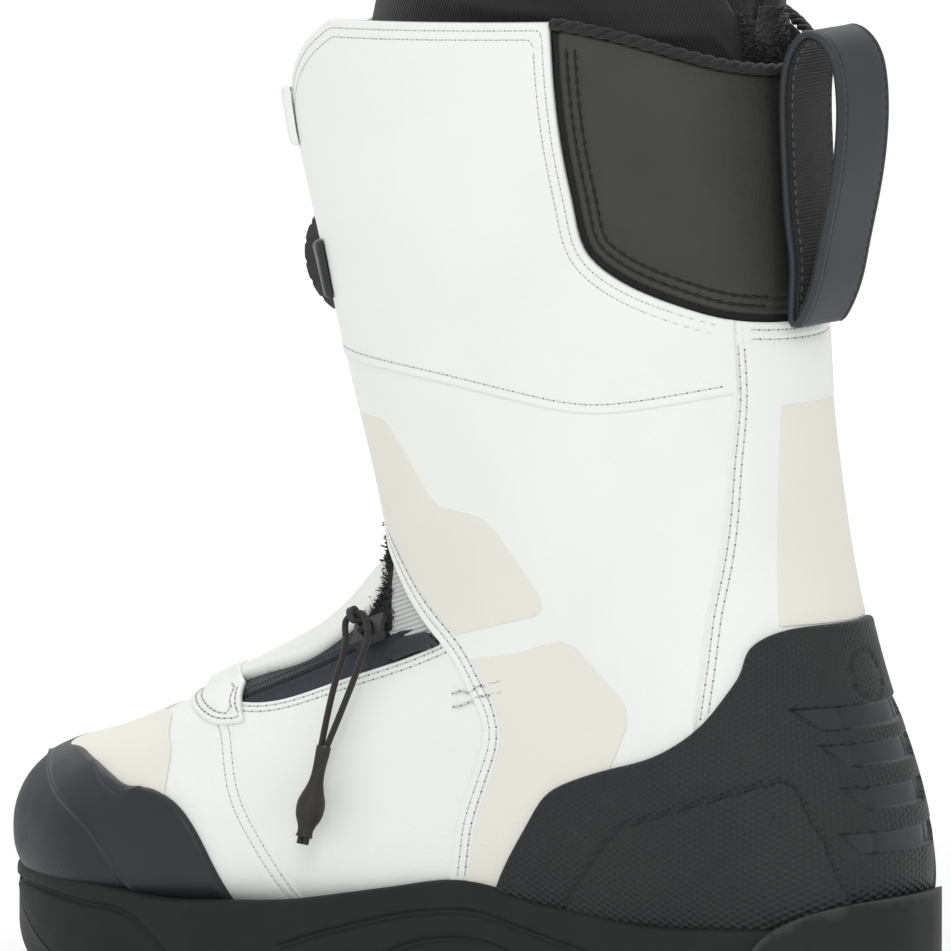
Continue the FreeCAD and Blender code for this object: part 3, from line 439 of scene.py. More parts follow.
def skin(v, degrees, columns=SHELL):
    """Points of the skin at a station and an angle, 0 degrees at the front and 90 on the medial side."""
    fx, fz, bx, bz, half, yc, round_f, round_b, shift = np.moveaxis(columns(v), -1, 0)
    dx, dz = fx - bx, fz - bz
    length = np.hypot(dx, dz)
    dx, dz = dx / length, dz / length
    deep_half = length / 2
    c = np.cos(np.radians(degrees))
    s = np.sin(np.radians(degrees))
    power = np.where(c >= 0, round_f, round_b)
    deep = deep_half * np.where(c >= 0, 1 + shift, 1 - shift)
    u = deep * np.sign(c) * np.abs(c) ** (2 / power)
    w = half * np.sign(s) * np.abs(s) ** (2 / power)
    mx = (fx + bx) / 2 - dx * shift * deep_half
    mz = (fz + bz) / 2 - dz * shift * deep_half
    return np.stack([mx + dx * u, yc + w, mz + dz * u], -1)


class Grid:
    """Points over the whole skin, about a step apart, with normals, and distance fields in mm."""

    def __init__(self, columns, step, first=0.0, last=None):
        last = STATIONS[-1] if last is None else last
        fine = np.linspace(first, last, 900)
        speed = np.zeros(899)
        for degrees in (0, 45, 90, 135, 180):
            line = skin(fine, np.full(900, degrees), columns)
            speed = np.maximum(speed, np.linalg.norm(np.diff(line, axis=0), axis=1))
        run = np.concatenate([[0], np.cumsum(speed)])
        self.rows = int(run[-1] / step)
        v = np.interp(np.linspace(0, run[-1], self.rows), run, fine)
        half = int(150 / step)
        self.cols = 2 * half
        dense = np.linspace(0, 180, 1441)
        ring = np.zeros((self.rows, self.cols))
        self.arc = np.zeros((self.rows, self.cols))
        for i, station in enumerate(v):
            line = skin(np.full(1441, station), dense, columns)
            s = np.concatenate([[0], np.cumsum(np.linalg.norm(np.diff(line, axis=0), axis=1))])
            even = np.linspace(0, s[-1], half + 1)
            degrees = np.interp(even, s, dense)
            ring[i, :half + 1] = degrees
            ring[i, half + 1:] = 360 - degrees[1:half][::-1]
            self.arc[i, :half + 1] = s[-1] - even
            self.arc[i, half + 1:] = (even[1:half] - s[-1])[::-1]
        p = skin(np.repeat(v[:, None], self.cols, 1), ring, columns)
        if first == 0:
            # the tip of the toe closes in a few shrinking rings
            tip = p[0].mean(0)
            extra = [tip + (p[0] - tip) * share + np.array([0.2 * (1 - share ** 2), 0, 0])
                     for share in (0.003, 0.15, 0.3, 0.45, 0.6, 0.74, 0.88)]
            p = np.concatenate([extra, p])
            self.arc = np.concatenate([self.arc[:1]] * len(extra) + [self.arc])
            self.rows += len(extra)
        self.p = p
        self.pi = np.gradient(p, axis=0)
        self.pj = (np.roll(p, -1, 1) - np.roll(p, 1, 1)) / 2
        n = np.cross(self.pj, self.pi)
        n /= np.maximum(np.linalg.norm(n, axis=2), 1e-9)[..., None]
        centre = p.mean(1)[:, None]
        if ((p - centre) * n).sum() < 0:
            n = -n
        self.n = n
        self.e = (self.pi ** 2).sum(2)
        self.f = (self.pi * self.pj).sum(2)
        self.g = (self.pj ** 2).sum(2)
        flat_p, flat_n = p.reshape(-1, 3), n.reshape(-1, 3)
        self.columns = {"x": 0, "y": 1, "z": 2}
        self.data = np.hstack([flat_p, flat_n, self.arc.reshape(-1, 1), flat_p[:, 2:3]])
        i, j = np.meshgrid(np.arange(self.rows - 1), np.arange(self.cols), indexing="ij")
        a = (i * self.cols + j).ravel()
        b = (i * self.cols + (j + 1) % self.cols).ravel()
        c, d = a + self.cols, b + self.cols
        even = ((i + j) % 2 == 0).ravel()
        one = np.where(even[:, None], np.stack([a, b, d], 1), np.stack([a, b, c], 1))
        two = np.where(even[:, None], np.stack([a, d, c], 1), np.stack([b, d, c], 1))
        self.tri = np.vstack([one, two])
        p0, p1, p2 = (flat_p[self.tri[:, k]] for k in range(3))
        facing = (np.cross(p1 - p0, p2 - p0) * flat_n[self.tri[:, 0]]).sum(1).mean()
        if facing < 0:
            self.tri = self.tri[:, ::-1]

    def add(self, name, values):
        """A field of plain values."""
        self.columns[name] = self.data.shape[1]
        self.data = np.hstack([self.data, np.asarray(values, float).reshape(-1, 1)])

    def add_distance(self, name, values):
        """A field whose zero line matters: scaled so that it grows 1 for each mm along the skin."""
        g = np.asarray(values, float).reshape(self.rows, self.cols)
        gi = np.gradient(g, axis=0)
        gj = (np.roll(g, -1, 1) - np.roll(g, 1, 1)) / 2
        area = np.maximum(self.e * self.g - self.f ** 2, 1e-6)
        slope = np.sqrt(np.maximum(self.g * gi ** 2 - 2 * self.f * gi * gj + self.e * gj ** 2, 0) / area)
        self.add(name, g / np.clip(slope, 0.25, 1.2))

    def region(self, name, seam, corners, front=False):
        """Field of a region drawn in side view (x, z), or in front view (y, z)."""
        pick = self.data[:, [1, 2]] if front else self.data[:, [0, 2]]
        self.add_distance(name, inside(pick, seam, corners))

    def get(self, name):
        return self.data[:, self.columns[name]]


def inside(points, seam, corners):
    """Signed distance to the edge of a region: a smooth seam closed over straight corners."""
    ring = np.vstack([curve(seam) if len(seam) else np.zeros((0, 2)),
                      np.array(corners, float).reshape(-1, 2)])
    best = np.full(len(points), 1e9)
    odd = np.zeros(len(points), bool)
    px, py = points.T
    for (ax, ay), (bx, by) in zip(ring, np.roll(ring, -1, 0)):
        ux, uy = bx - ax, by - ay
        size = max(ux * ux + uy * uy, 1e-9)
        t = np.clip(((px - ax) * ux + (py - ay) * uy) / size, 0, 1)
        best = np.minimum(best, (px - ax - t * ux) ** 2 + (py - ay - t * uy) ** 2)
        if ay != by:
            cross = ((ay > py) != (by > py)) & (px < ux * (py - ay) / uy + ax)
            odd ^= cross
    return np.sqrt(best) * np.where(odd, 1, -1)


# ---- seams --------------------------------------------------------------------------------------

VAMP_SEAM = [(80, 88.6), (73.5, 87.5), (65, 86.3), (56.5, 84), (47, 67), (38, 51), (29, 36), (22, 22)]
ZIP_LOWER = [(62, 86), (45, 88.7), (23.7, 95.6), (2.8, 102.9), (-9, 107.7)]
ZIP_UPPER = [(74, 88), (54, 95.6), (36.7, 101.3), (26.7, 108), (18.5, 114.7), (16.5, 123)]
QUARTER_EDGE = [(24, 142), (19, 135), (13.6, 129.7), (6.3, 122.4), (-4.8, 112.6), (-10.6, 108.4),
                (-17, 102.6), (-21.4, 96.8), (-25.5, 91), (-27.3, 84.7), (-25.2, 76.5), (-22.3, 68.8),
                (-19.5, 60.4), (-18, 52.4), (-16.5, 45.3), (-15, 22)]
CUFF_SEAM = [(70, 186), (24, 183.4), (-0.3, 182), (-17.7, 180.4), (-43.7, 176.6), (-63.7, 174.6),
             (-77.3, 176.2), (-98, 180.5)]
BACKSTAY_SEAM = [(-95.2, 206), (-95.9, 191.7), (-96.6, 179.6), (-96.1, 162), (-95.8, 147.4),
                 (-94.7, 132.5), (-93.2, 120.8), (-92.7, 111.5), (-91.7, 91.5), (-90, 60), (-89, 22)]
COLLAR_EDGE = [(-54, 286), (-55.2, 261), (-57.5, 242), (-59.8, 229), (-62.6, 218.5), (-68.4, 212.6),
               (-76.6, 207.8), (-86.8, 203.4), (-95, 200.4), (-103, 198.8), (-122, 198.4)]
COLLAR_TOP = [(-54, 279), (-70, 276), (-85, 271), (-98, 266), (-120, 261)]
COUNTER_EDGE = [(-118, 117.2), (-113, 117), (-106.4, 114.4), (-103.7, 111.5), (-102.4, 105.5),
                (-100, 100), (-94.7, 91.7), (-88.5, 86.3), (-80.5, 82), (-70, 78.8), (-54.4, 73.6),
                (-48.7, 70.5), (-43, 63.2), (-38, 55.5), (-31.5, 45), (-26, 34)]
CAP_EDGE = [(119.5, 80), (120.5, 73.5), (119, 71), (114.4, 70.4), (100.5, 69), (90, 66.2), (82.4, 64),
            (76.3, 64.1), (70.3, 62.8), (64.5, 59.5), (60, 54.5), (55.5, 46.8), (51.5, 38), (49, 30)]
SOLE_TOP = [(150, 39), (126, 38.3), (101, 38), (81, 36.4), (70, 35.2), (51, 35.6), (30, 36.8),
            (19, 38.5), (-4, 42.6), (-17.4, 44.6), (-30.6, 43.4), (-41, 40.9), (-59, 38.6),
            (-73, 36.8), (-106, 36.8), (-150, 37)]
SOLE_BOTTOM = [(85, 0), (100, 3.5), (112, 9.2), (122, 14.8), (130, 20), (137, 25.5), (150, 36)]
MEDIAL_FLAP = [(24, 118), (18, 138), (16, 150), (15.5, 185), (15.5, 205), (17, 225), (20, 240),
               (25, 250.5), (30.5, 258), (36.5, 265), (42, 271), (46.5, 276), (51, 282)]
LATERAL_FLAP = [(3, 110), (3, 200), (3, 244), (0.5, 254), (-6, 262), (-18, 269), (-32, 273.5), (-46, 276)]
SOLE_OUTLINE = [(140.4, 7), (133, 24), (120, 38.5), (104, 48), (84, 53), (58, 54), (28, 49), (0, 44.5),
                (-30, 42), (-62, 41), (-98, 39), (-124, 29), (-135.5, 15), (-138.6, 0),
                (-135.5, -15), (-124, -30), (-98, -40), (-62, -43), (-24, -47), (18, -53), (54, -54),
                (84, -48.5), (110, -37), (130, -20), (139, -6)]
ANKLE_PATCH = [(40, 168.2), (17.4, 168), (9.8, 168.3), (5.6, 165.4), (0.1, 159.3), (-9.1, 148),
               (-12, 145.8), (-26.6, 144.3), (-31.4, 141.7), (-46.4, 123.9), (-47.4, 121),
               (-45.6, 118.6), (-13.8, 110.3), (0, 105)]
MIDFOOT_PATCH = [(-8, 102), (-16.7, 103.9), (-38.8, 107.9), (-52, 112.2), (-57.5, 111), (-65.3, 103.4),
                 (-72.9, 96.4), (-73.6, 90.5), (-69.9, 82.1), (-64, 70)]
TOE_PATCH = [(101, 92), (95, 84), (90.9, 81.7), (81.5, 81.8), (75, 77), (72.8, 74.9), (70.6, 68), (70.3, 60)]
FACET = [(-52, 38), (-55.7, 43.6), (-70.4, 60.8), (-73, 62.7), (-110.6, 75), (-115, 76.4), (-118, 74.8),
         (-122.5, 64.7), (-124.6, 61.5)]
ZIP_START = np.array([13.5, 31.2, 108.3])
ZIP_ALONG = np.array([0.92044, 0.03294, -0.38949])
ZIP_ACROSS = np.array([-0.29317, 0.71725, -0.63214])
ZIP_OUT = np.array([0.25854, 0.69604, 0.66984])


def trimmed_corners(points, reach=1.6):
    """The same outline with each corner cut off, reach mm from it."""
    ring = np.array(points, float)
    cut = []
    for before, at, after in zip(np.roll(ring, 1, 0), ring, np.roll(ring, -1, 0)):
        a, b = before - at, after - at
        la, lb = np.linalg.norm(a), np.linalg.norm(b)
        p, q = at + a / la * min(reach, la / 2.1), at + b / lb * min(reach, lb / 2.1)
        cut += [p, (p + q + 2 * at) / 4, q]
    return cut


def upper_grid():
    """The shell grid, with a field for each seam and region."""
    g = Grid(SHELL, 1.6)
    g.region("vamp", [(83, 100)] + VAMP_SEAM, [(160, 22), (160, 100)])
    g.region("shroud", ZIP_UPPER, [(20, 127), (34, 132), (90, 112), (81, 89)])
    g.region("counter", COUNTER_EDGE, [(-150, 34), (-150, 117.2)])
    g.region("cap", CAP_EDGE, [(150, 30), (150, 80)])
    g.region("quarter", QUARTER_EDGE, [(-150, 22), (-150, 320), (60, 320), (60, 142)])
    g.region("cuff", CUFF_SEAM, [(-150, 181), (-150, 320), (70, 320)])
    g.region("stay", BACKSTAY_SEAM, [(-160, 22), (-160, 206)])
    g.region("collar", COLLAR_EDGE, [(-150, 198), (-150, 320), (-54, 320)])
    g.region("collar_top", COLLAR_TOP, [(-150, 150), (-54, 150)])
    g.region("cuff_top", [(80, 274.7), (-70, 281.3)], [(-160, 281), (-160, -5), (80, -5)])
    g.region("medial_flap", MEDIAL_FLAP, [(90, 290), (90, -5), (-20, -5)], True)
    g.region("lateral_flap", LATERAL_FLAP, [(-90, 276.5), (-90, 110)], True)
    g.region("low", [(90, 88), (60, 88), (45, 88.9), (23.7, 95.6), (2.8, 102.9), (-9, 107.7), (-30, 118)],
             [(-30, 0), (90, 0)])
    g.region("low_lateral", ZIP_UPPER, [(-5, 112), (-30, 112), (-30, 0), (90, 0), (90, 88)])
    g.region("zip", [(62, 85.4)] + ZIP_LOWER[1:], [(-5, 111), (8, 108.2)] + ZIP_UPPER[-2::-1])
    g.region("ankle", [], trimmed_corners(ANKLE_PATCH + [(40, 120)]))
    g.region("midfoot", [], trimmed_corners(MIDFOOT_PATCH + [(-50, 60), (-30, 30), (-5, 30)]))
    g.region("toe_patch", TOE_PATCH, [(104, 60), (125, 66), (125, 92)])
    g.region("back_strip", [(-21.5, 117.5), (-13, 176.5)], [(13, 176.5), (21.5, 117.5)], True)
    g.region("facet", FACET, [(-130, 44), (-130, 36), (-60, 34)])
    g.region("gusset", [(-8, 109.2), (-4.5, 111.4)],
             [(8, 108.8), (18, 115.6), (16.9, 122), (19, 127.2), (26, 130), (23, 140), (19, 134.6),
              (13.8, 129.4), (6.5, 122), (-4.6, 112.2)])
    g.region("tongue", [(-2, 150), (-2, 122), (10, 112), (40, 96), (70, 82)],
             [(78, 95), (78, 320), (-2, 320)])
    g.region("tongue_top", [(-34, 240), (-22, 249), (0, 252), (22, 249), (34, 240)], [(34, 60), (-34, 60)],
             True)
    g.region("end_tab", [(50, 83.2), (57, 81.6), (70, 83.5), (84, 86.6)], [(86, 93), (72, 94), (58, 92)])
    g.region("end_strap", [(6.5, 101.8), (-2, 105), (-10.5, 107.9)],
             [(-5.6, 110.7), (4.5, 107.6), (7, 106.4)])
    x, y, z = g.data[:, 0], g.data[:, 1], g.data[:, 2]
    sole = np.interp(x, *np.array(sorted(SOLE_TOP)).T)
    g.add("sole", z - sole)
    g.add("medial", y)
    g.add("behind", -95 - x)
    at = g.data[:, :3] - ZIP_START
    g.add("zip_across", at @ ZIP_ACROSS)
    g.add("front_edge", np.minimum(g.get("quarter"), g.get("medial_flap")))
    cuff_edge = np.minimum(-g.get("collar"), g.get("cuff_top"))
    g.add("cuff_edge", np.minimum(cuff_edge, g.get("medial_flap")))
    g.add("cuff_edge_lateral", np.minimum(cuff_edge, g.get("lateral_flap")))
    return g


# ---- meshes from fields -------------------------------------------------------------------------

def split(tri, data, column, level):
    """Cuts the triangles along the line where a column of their data is at a level."""
    f = data[:, column] - level
    side = f > 0
    s = side[tri]
    count = s.sum(1)
    mixed = (count == 1) | (count == 2)
    if not mixed.any():
        return tri, data
    m, sm = tri[mixed], s[mixed]
    lone = np.where(count[mixed] == 1, sm.argmax(1), (~sm).argmax(1))
    k = np.arange(len(m))
    a, b, c = m[k, lone], m[k, (lone + 1) % 3], m[k, (lone + 2) % 3]
    key = np.sort(np.vstack([np.stack([a, b], 1), np.stack([a, c], 1)]), 1)
    code, index = np.unique(key[:, 0] * len(data) + key[:, 1], return_inverse=True)
    p, q = code // len(data), code % len(data)
    w = np.clip(f[p] / (f[p] - f[q]), 0.02, 0.98)[:, None]
    new = data[p] * (1 - w) + data[q] * w
    new[:, column] = level
    ids = len(data) + index.ravel()
    ab, ac = ids[:len(m)], ids[len(m):]
    pieces = [tri[~mixed], np.stack([a, ab, ac], 1), np.stack([ab, b, c], 1), np.stack([ab, c, ac], 1)]
    return np.vstack(pieces), np.vstack([data, new])


def compact(tri, data):
    """Drops the points that no triangle uses."""
    used, index = np.unique(tri, return_inverse=True)
    return index.reshape(tri.shape), data[used]


def trimmed(grid, trims):
    """The part of a grid where every trim is above zero. A trim is (field, sign, shift)."""
    tri, data = grid.tri, grid.data
    for name, sign, shift in trims:
        value = sign * data[:, grid.columns[name]] + shift
        tri = tri[(value[tri] > 0).any(1)]
    tri, data = compact(tri, data)
    for name, sign, shift in trims:
        column = grid.columns[name]
        level = -shift * sign
        tri, data = split(tri, data, column, level)
        tri = tri[sign * (data[tri, column].mean(1) - level) > 0]
        if not len(tri):
            return tri, data
        tri, data = compact(tri, data)
    return tri, data


def rounding(e, radius):
    """Height lost near an edge at distance e, so that the edge is a quarter circle."""
    t = np.clip(1 - np.maximum(e, 0) / radius, 0, 1)
    return radius * (1 - np.sqrt(np.maximum(1 - t * t, 0)))


def bell(d, width):
    """One at d = 0, falling off over a width."""
    return np.exp(-(d / width) ** 2)


def smooth(t):
    """Smooth step from 0 to 1."""
    t = np.clip(t, 0, 1)
    return t * t * (3 - 2 * t)


def make(name, verts, faces, look, uv=None):
    """A smooth mesh object from points in mm, riding on the boot."""
    mesh = bpy.data.meshes.new(name)
    mesh.from_pydata((np.asarray(verts) * MM).tolist(), [],
                     [f.tolist() if hasattr(f, "tolist") else f for f in faces])
    mesh.update()
    mesh.polygons.foreach_set("use_smooth", [True] * len(mesh.polygons))
    if uv is not None:
        layer = mesh.uv_layers.new(name="UVMap")
        index = np.zeros(len(mesh.loops), np.int32)
        mesh.loops.foreach_get("vertex_index", index)
        layer.data.foreach_set("uv", np.asarray(uv, np.float32)[index].ravel())
    for item in look if isinstance(look, list) else [look]:
        mesh.materials.append(LOOK[item])
    o = bpy.data.objects.new(name, mesh)
    scene.collection.objects.link(o)
    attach(o, "boot")
    return o


def panel(name, grid, trims, edges, height, inner, look, radius=0.6, lines=(), replaces=(),
          uv=None,
          second=None):
    """A closed piece on the skin: height mm out at the outside, inner at the inside, edges rounded."""
    tri, data = trimmed(grid, trims)
    shifts = {t[0]: t for t in trims}
    for field, level in lines:
        tri, data = split(tri, data, grid.columns[field], level)
    edge = np.full(len(data), 50.0)
    for field in edges:
        _, sign, shift = shifts[field]
        edge = np.minimum(edge, sign * data[:, grid.columns[field]] + shift)
    data = np.hstack([data, edge[:, None]])
    for share in (0.12, 0.45, 1.0):
        tri, data = split(tri, data, data.shape[1] - 1, share * radius)
    tri, data = compact(tri, data)
    edge = data[:, -1]
    h = (height(Fields(grid, data)) if callable(height) else height) - rounding(edge, radius)
    low = inner(Fields(grid, data)) if callable(inner) else inner
    p, n = data[:, :3], data[:, 3:6]
    outside = p + n * h[:, None]
    under = p + n * (np.minimum(low, h - 0.2))[:, None]
    count = len(p)
    code = np.concatenate([tri[:, [0, 1]], tri[:, [1, 2]], tri[:, [2, 0]]])
    key = code[:, 0] * count + code[:, 1]
    back = code[:, 1] * count + code[:, 0]
    rim = code[~np.isin(key, back)]
    quads = np.stack([rim[:, 1], rim[:, 0], rim[:, 0] + count, rim[:, 1] + count], 1)
    faces = tri.tolist() + (tri[:, ::-1] + count).tolist() + quads.tolist()
    flat_uv = data[:, 6:8] if uv is None else uv(Fields(grid, data))
    o = make(name, np.vstack([outside, under]), faces, look, np.vstack([flat_uv, flat_uv]))
    if second is not None:
        part = second(Fields(grid, data))[tri].mean(1) > 0.5
        marks = np.zeros(len(o.data.polygons), np.int32)
        marks[:len(tri)] = part
        o.data.polygons.foreach_set("material_index", marks)
    if replaces:
        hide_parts(*replaces)
    return o


class Fields:
    """Named columns of a set of points."""

    def __init__(self, grid, data):
        self.grid = grid
        self.data = data

    def __getattr__(self, name):
        return self.data[:, self.grid.columns[name]]


def level_lines(grid, field, level, masks):
    """Lines on the skin where a field is at a level, as (points, normals), while every mask is above zero."""
    tri, data = grid.tri, grid.data
    f = data[:, grid.columns[field]] - level
    side = f > 0
    s = side[tri].sum(1)
    tri = tri[(s == 1) | (s == 2)]
    ends = {}
    spots = {}
    for t in tri:
        found = []
        for a, b in ((t[0], t[1]), (t[1], t[2]), (t[2], t[0])):
            if side[a] != side[b]:
                a, b = (a, b) if a < b else (b, a)
                w = f[a] / (f[a] - f[b])
                row = data[a] * (1 - w) + data[b] * w
                if all(sign * row[grid.columns[m]] + shift > 0 for m, sign, shift in masks):
                    found.append((a, b))
                    spots[(a, b)] = row
        if len(found) == 2:
            ends.setdefault(found[0], []).append(found[1])
            ends.setdefault(found[1], []).append(found[0])
    lines = []
    left = set(ends)
    starts = [k for k in ends if len(ends[k]) == 1] + list(ends)
    for start in starts:
        if start not in left:
            continue
        chain = [start]
        left.discard(start)
        while True:
            onward = [k for k in ends[chain[-1]] if k in left]
            if not onward:
                break
            chain.append(onward[0])
            left.discard(onward[0])
        if len(chain) > 4:
            rows = np.array([spots[k] for k in chain])
            if len(ends[start]) == 2:
                rows = np.vstack([rows, rows[:1]])
            lines.append((rows[:, :3], rows[:, 3:6]))
    return lines


def resample(points, normals, pitch, start=0.0):
    """Even points along a smoothed line, with its directions and normals."""
    p = points.copy()
    for _ in range(2):
        p[1:-1] = (p[:-2] + 2 * p[1:-1] + p[2:]) / 4
    s = np.concatenate([[0], np.cumsum(np.linalg.norm(np.diff(p, axis=0), axis=1))])
    at = np.arange(start, s[-1] - start, pitch)
    q = np.stack([np.interp(at, s, p[:, k]) for k in range(3)], 1)
    n = np.stack([np.interp(at, s, normals[:, k]) for k in range(3)], 1)
    ahead = np.stack([np.interp(at + 0.6, s, p[:, k]) for k in range(3)], 1)
    behind = np.stack([np.interp(at - 0.6, s, p[:, k]) for k in range(3)], 1)
    t = ahead - behind
    t /= np.maximum(np.linalg.norm(t, axis=1), 1e-9)[:, None]
    n -= t * (n * t).sum(1)[:, None]
    n /= np.maximum(np.linalg.norm(n, axis=1), 1e-9)[:, None]
    return q, t, n


def ring_quads(a, b, count):
    """Quads between the ring of points that starts at a and the one that starts at b."""
    return [(a + j, a + (j + 1) % count, b + (j + 1) % count, b + j) for j in range(count)]


def bead(rings, sides):
    """Unit bead along x, as rings of points between two tips."""
    verts = [(-1, 0, 0)]
    for x, r in rings:
        verts += [(x, r * math.cos(2 * math.pi * k / sides),
                   r * math.sin(2 * math.pi * k / sides)) for k in range(sides)]
    verts.append((1, 0, 0))
    faces = [(0, 1 + (k + 1) % sides, 1 + k) for k in range(sides)]
    for i in range(len(rings) - 1):
        a = 1 + i * sides
        faces += ring_quads(a, a + sides, sides)
    a = 1 + (len(rings) - 1) * sides
    faces += [(a + k, a + (k + 1) % sides, len(verts) - 1) for k in range(sides)]
    return np.array(verts), faces


THREAD = bead([(-0.9, 0.55), (-0.5, 0.95), (0.1, 1.0), (0.55, 0.95), (0.9, 0.55)], 6)
# the flat dot drawn in each needle hole, coloured as painted shade
HOLE_SHADE_DOT = bead([(-0.6, 0.8), (0.6, 0.8)], 6)


def scatter(shapes):
    """Many copies of small shapes as one set of points and faces: (shape, centre, axes, sizes, material)."""
    verts, faces, marks = [], [], []
    base = 0
    for (points, polys), centre, axes, size, mark in shapes:
        verts.append(centre + (points * size) @ axes)
        faces += [tuple(base + i for i in f) for f in polys]
        marks += [mark] * len(polys)
        base += len(points)
    return np.vstack(verts), faces, marks


def stitches(name, rows, thread, hole_shade_look, pitch=3.1, long=1.12, thick=0.3):
    """Rows of sewn stitches, with a flat dark dot of painted shade at each needle hole. A row is (points,
    normals, lift).
    """
    shapes = []
    for points, normals, lift in rows:
        q, t, n = resample(points, normals, pitch, pitch / 2)
        for centre, along, out in zip(q, t, n):
            axes = np.array([along, np.cross(out, along), out])
            at = centre + out * (lift - 0.1)
            shapes.append((THREAD, at, axes, np.array([long, thick, thick]), 0))
            # a flat dark dot between two threads: painted shade for the needle hole
            at = centre + along * pitch / 2 + out * (lift - 0.02)
            shapes.append((HOLE_SHADE_DOT, at, axes, np.array([0.36, 0.34, 0.12]), 1))
    verts, faces, marks = scatter(shapes)
    o = make(name, verts, faces, [thread, hole_shade_look])
    o.data.polygons.foreach_set("material_index", marks)
    return o


def rows_on(grid, plan):
    """Stitch rows from (field, level, masks, lift)."""
    found = []
    for field, level, masks, lift in plan:
        found += [(p, n, lift) for p, n in level_lines(grid, field, level, masks)]
    return found


def tufts(name, g, where, count, spread, lift, long):
    """Short loose fibres standing on part of the skin."""
    rng = np.random.default_rng(7)
    strands = []
    for k in rng.choice(np.where(where)[0], count):
        p, n = g.data[k, :3], g.data[k, 3:6]
        base = p + rng.normal(0, spread, 3) + n * lift
        lean = n + rng.normal(0, 0.45, 3) + np.array([0, 0, 0.4])
        lean /= np.linalg.norm(lean)
        side = rng.normal(0, 0.3, 3)
        strands.append(tube_mesh([base, base + lean * long * 0.5, base + lean * long + side],
                                 [0.22, 0.2, 0.07], 4))
    v, f = merged(strands)
    make(name, v, f, "fleece")


# ---- shell --------------------------------------------------------------------------------------

def quarter_height(f):
    """The quarter laps over the side of the forefoot, and lies down behind its edge."""
    edge = np.minimum(f.quarter, np.where(f.medial > 0, f.medial_flap, f.lateral_flap))
    h = 0.35 + 0.55 * np.exp(-np.maximum(edge, 0) / 7)
    return h - 0.28 * bell(edge - 2.2, 0.6) - 0.28 * bell(edge - 4.4, 0.6)


def cuff_height(f):
    side = np.where(f.medial > 0, f.cuff_edge, f.cuff_edge_lateral)
    h = 0.35 + 0.85 * np.exp(-np.maximum(f.cuff, 0) / 9) - 0.3 * bell(f.cuff - 2.5, 0.6)
    return h - 0.25 * bell(side - 2.1, 0.6) - 0.25 * bell(side - 4.6, 0.6)


def white_panels(g):
    """Vamp, forefoot sides, quarters, cuff and backstay in white coated fabric."""
    def lines(field, *levels):
        return [(field, level + shift) for level in levels for shift in (-0.7, 0, 0.7)]

    panel("vamp_cover", g, [("vamp", 1, 0), ("cap", -1, 7), ("sole", 1, 6)], ["vamp"],
          lambda f: 0.25 - 0.25 * bell(f.vamp - 1.3, 0.6) - 0.25 * bell(f.vamp - 4.0, 0.6),
          -2.2, "white_upper", 0.5, lines("vamp", 1.3, 4.0), ["vamp_panel"])
    for side, sign in (("medial", 1), ("lateral", -1)):
        low = ("low", 1, 0) if sign > 0 else ("low_lateral", 1, 0)
        panel("forefoot_cover_" + side, g, [("vamp", -1, 2), ("quarter", -1, 2.5), low, ("sole", 1, 6),
                                            ("medial", sign, 0)],
              [low[0]], lambda f: 0.0 - 0.25 * bell(f.low - 1.4,
                                                    0.5) - 0.25 * bell(f.low - 3.1, 0.5) * (f.medial > 0),
              -2.2, "white_upper", 0.6, lines("low", 1.4, 3.1), ["forefoot_side_" + side])
        flap = (side + "_flap", 1, 0)
        stay = ("stay", -1, 1.5)
        trims = [("quarter", 1, 0), ("cuff", -1, 2), stay, ("counter", -1, 7), ("sole", 1, 6),
                 ("medial", sign, 0)]
        if sign < 0:
            trims[-1] = ("medial", -1, 3)
        if sign > 0:
            trims.append(("front_edge", 1, 0))
        edge_line = lines("front_edge" if sign > 0 else "quarter", 2.2, 4.4)
        panel("quarter_cover_" + side, g, trims, ["quarter"] + (["front_edge"] if sign > 0 else []),
              quarter_height,
              -2.2, "white_upper", 0.5, edge_line, ["quarter_" + side])
        trims = [("cuff", 1, 0), ("collar", -1, 0), ("cuff_top", 1, 0), stay, flap]
        if sign > 0:
            trims.append(("medial", 1, 0))
        panel("cuff_cover_" + side, g, trims, ["cuff", "collar", "cuff_top", flap[0]], cuff_height, -2.2,
              "white_upper", 0.75, lines("cuff",
                                         2.5) + lines("cuff_edge" if sign > 0 else "cuff_edge_lateral", 2.1,
                                                      4.6),
              ["cuff_" + side])
    panel("backstay_cover", g, [("stay", 1, 0), ("collar", -1, 0), ("counter", -1, 7), ("sole", 1, 6)],
          ["stay", "collar"],
          lambda f: 0.45 + 0.75 * bell(f.stay - 0.7,
                                       0.55) - 0.28 * bell(f.stay - 2.3, 0.5) - 0.28 * bell(f.stay - 4.3, 0.5)
          - 0.25 * bell(f.collar + 2.1, 0.6) - 0.25 * bell(f.collar + 4.6, 0.6),
          -2.2, "white_upper", 0.5, lines("stay", 0.7, 2.3,
                                          4.3) + lines("collar", -2.1, -4.6), ["backstay"])


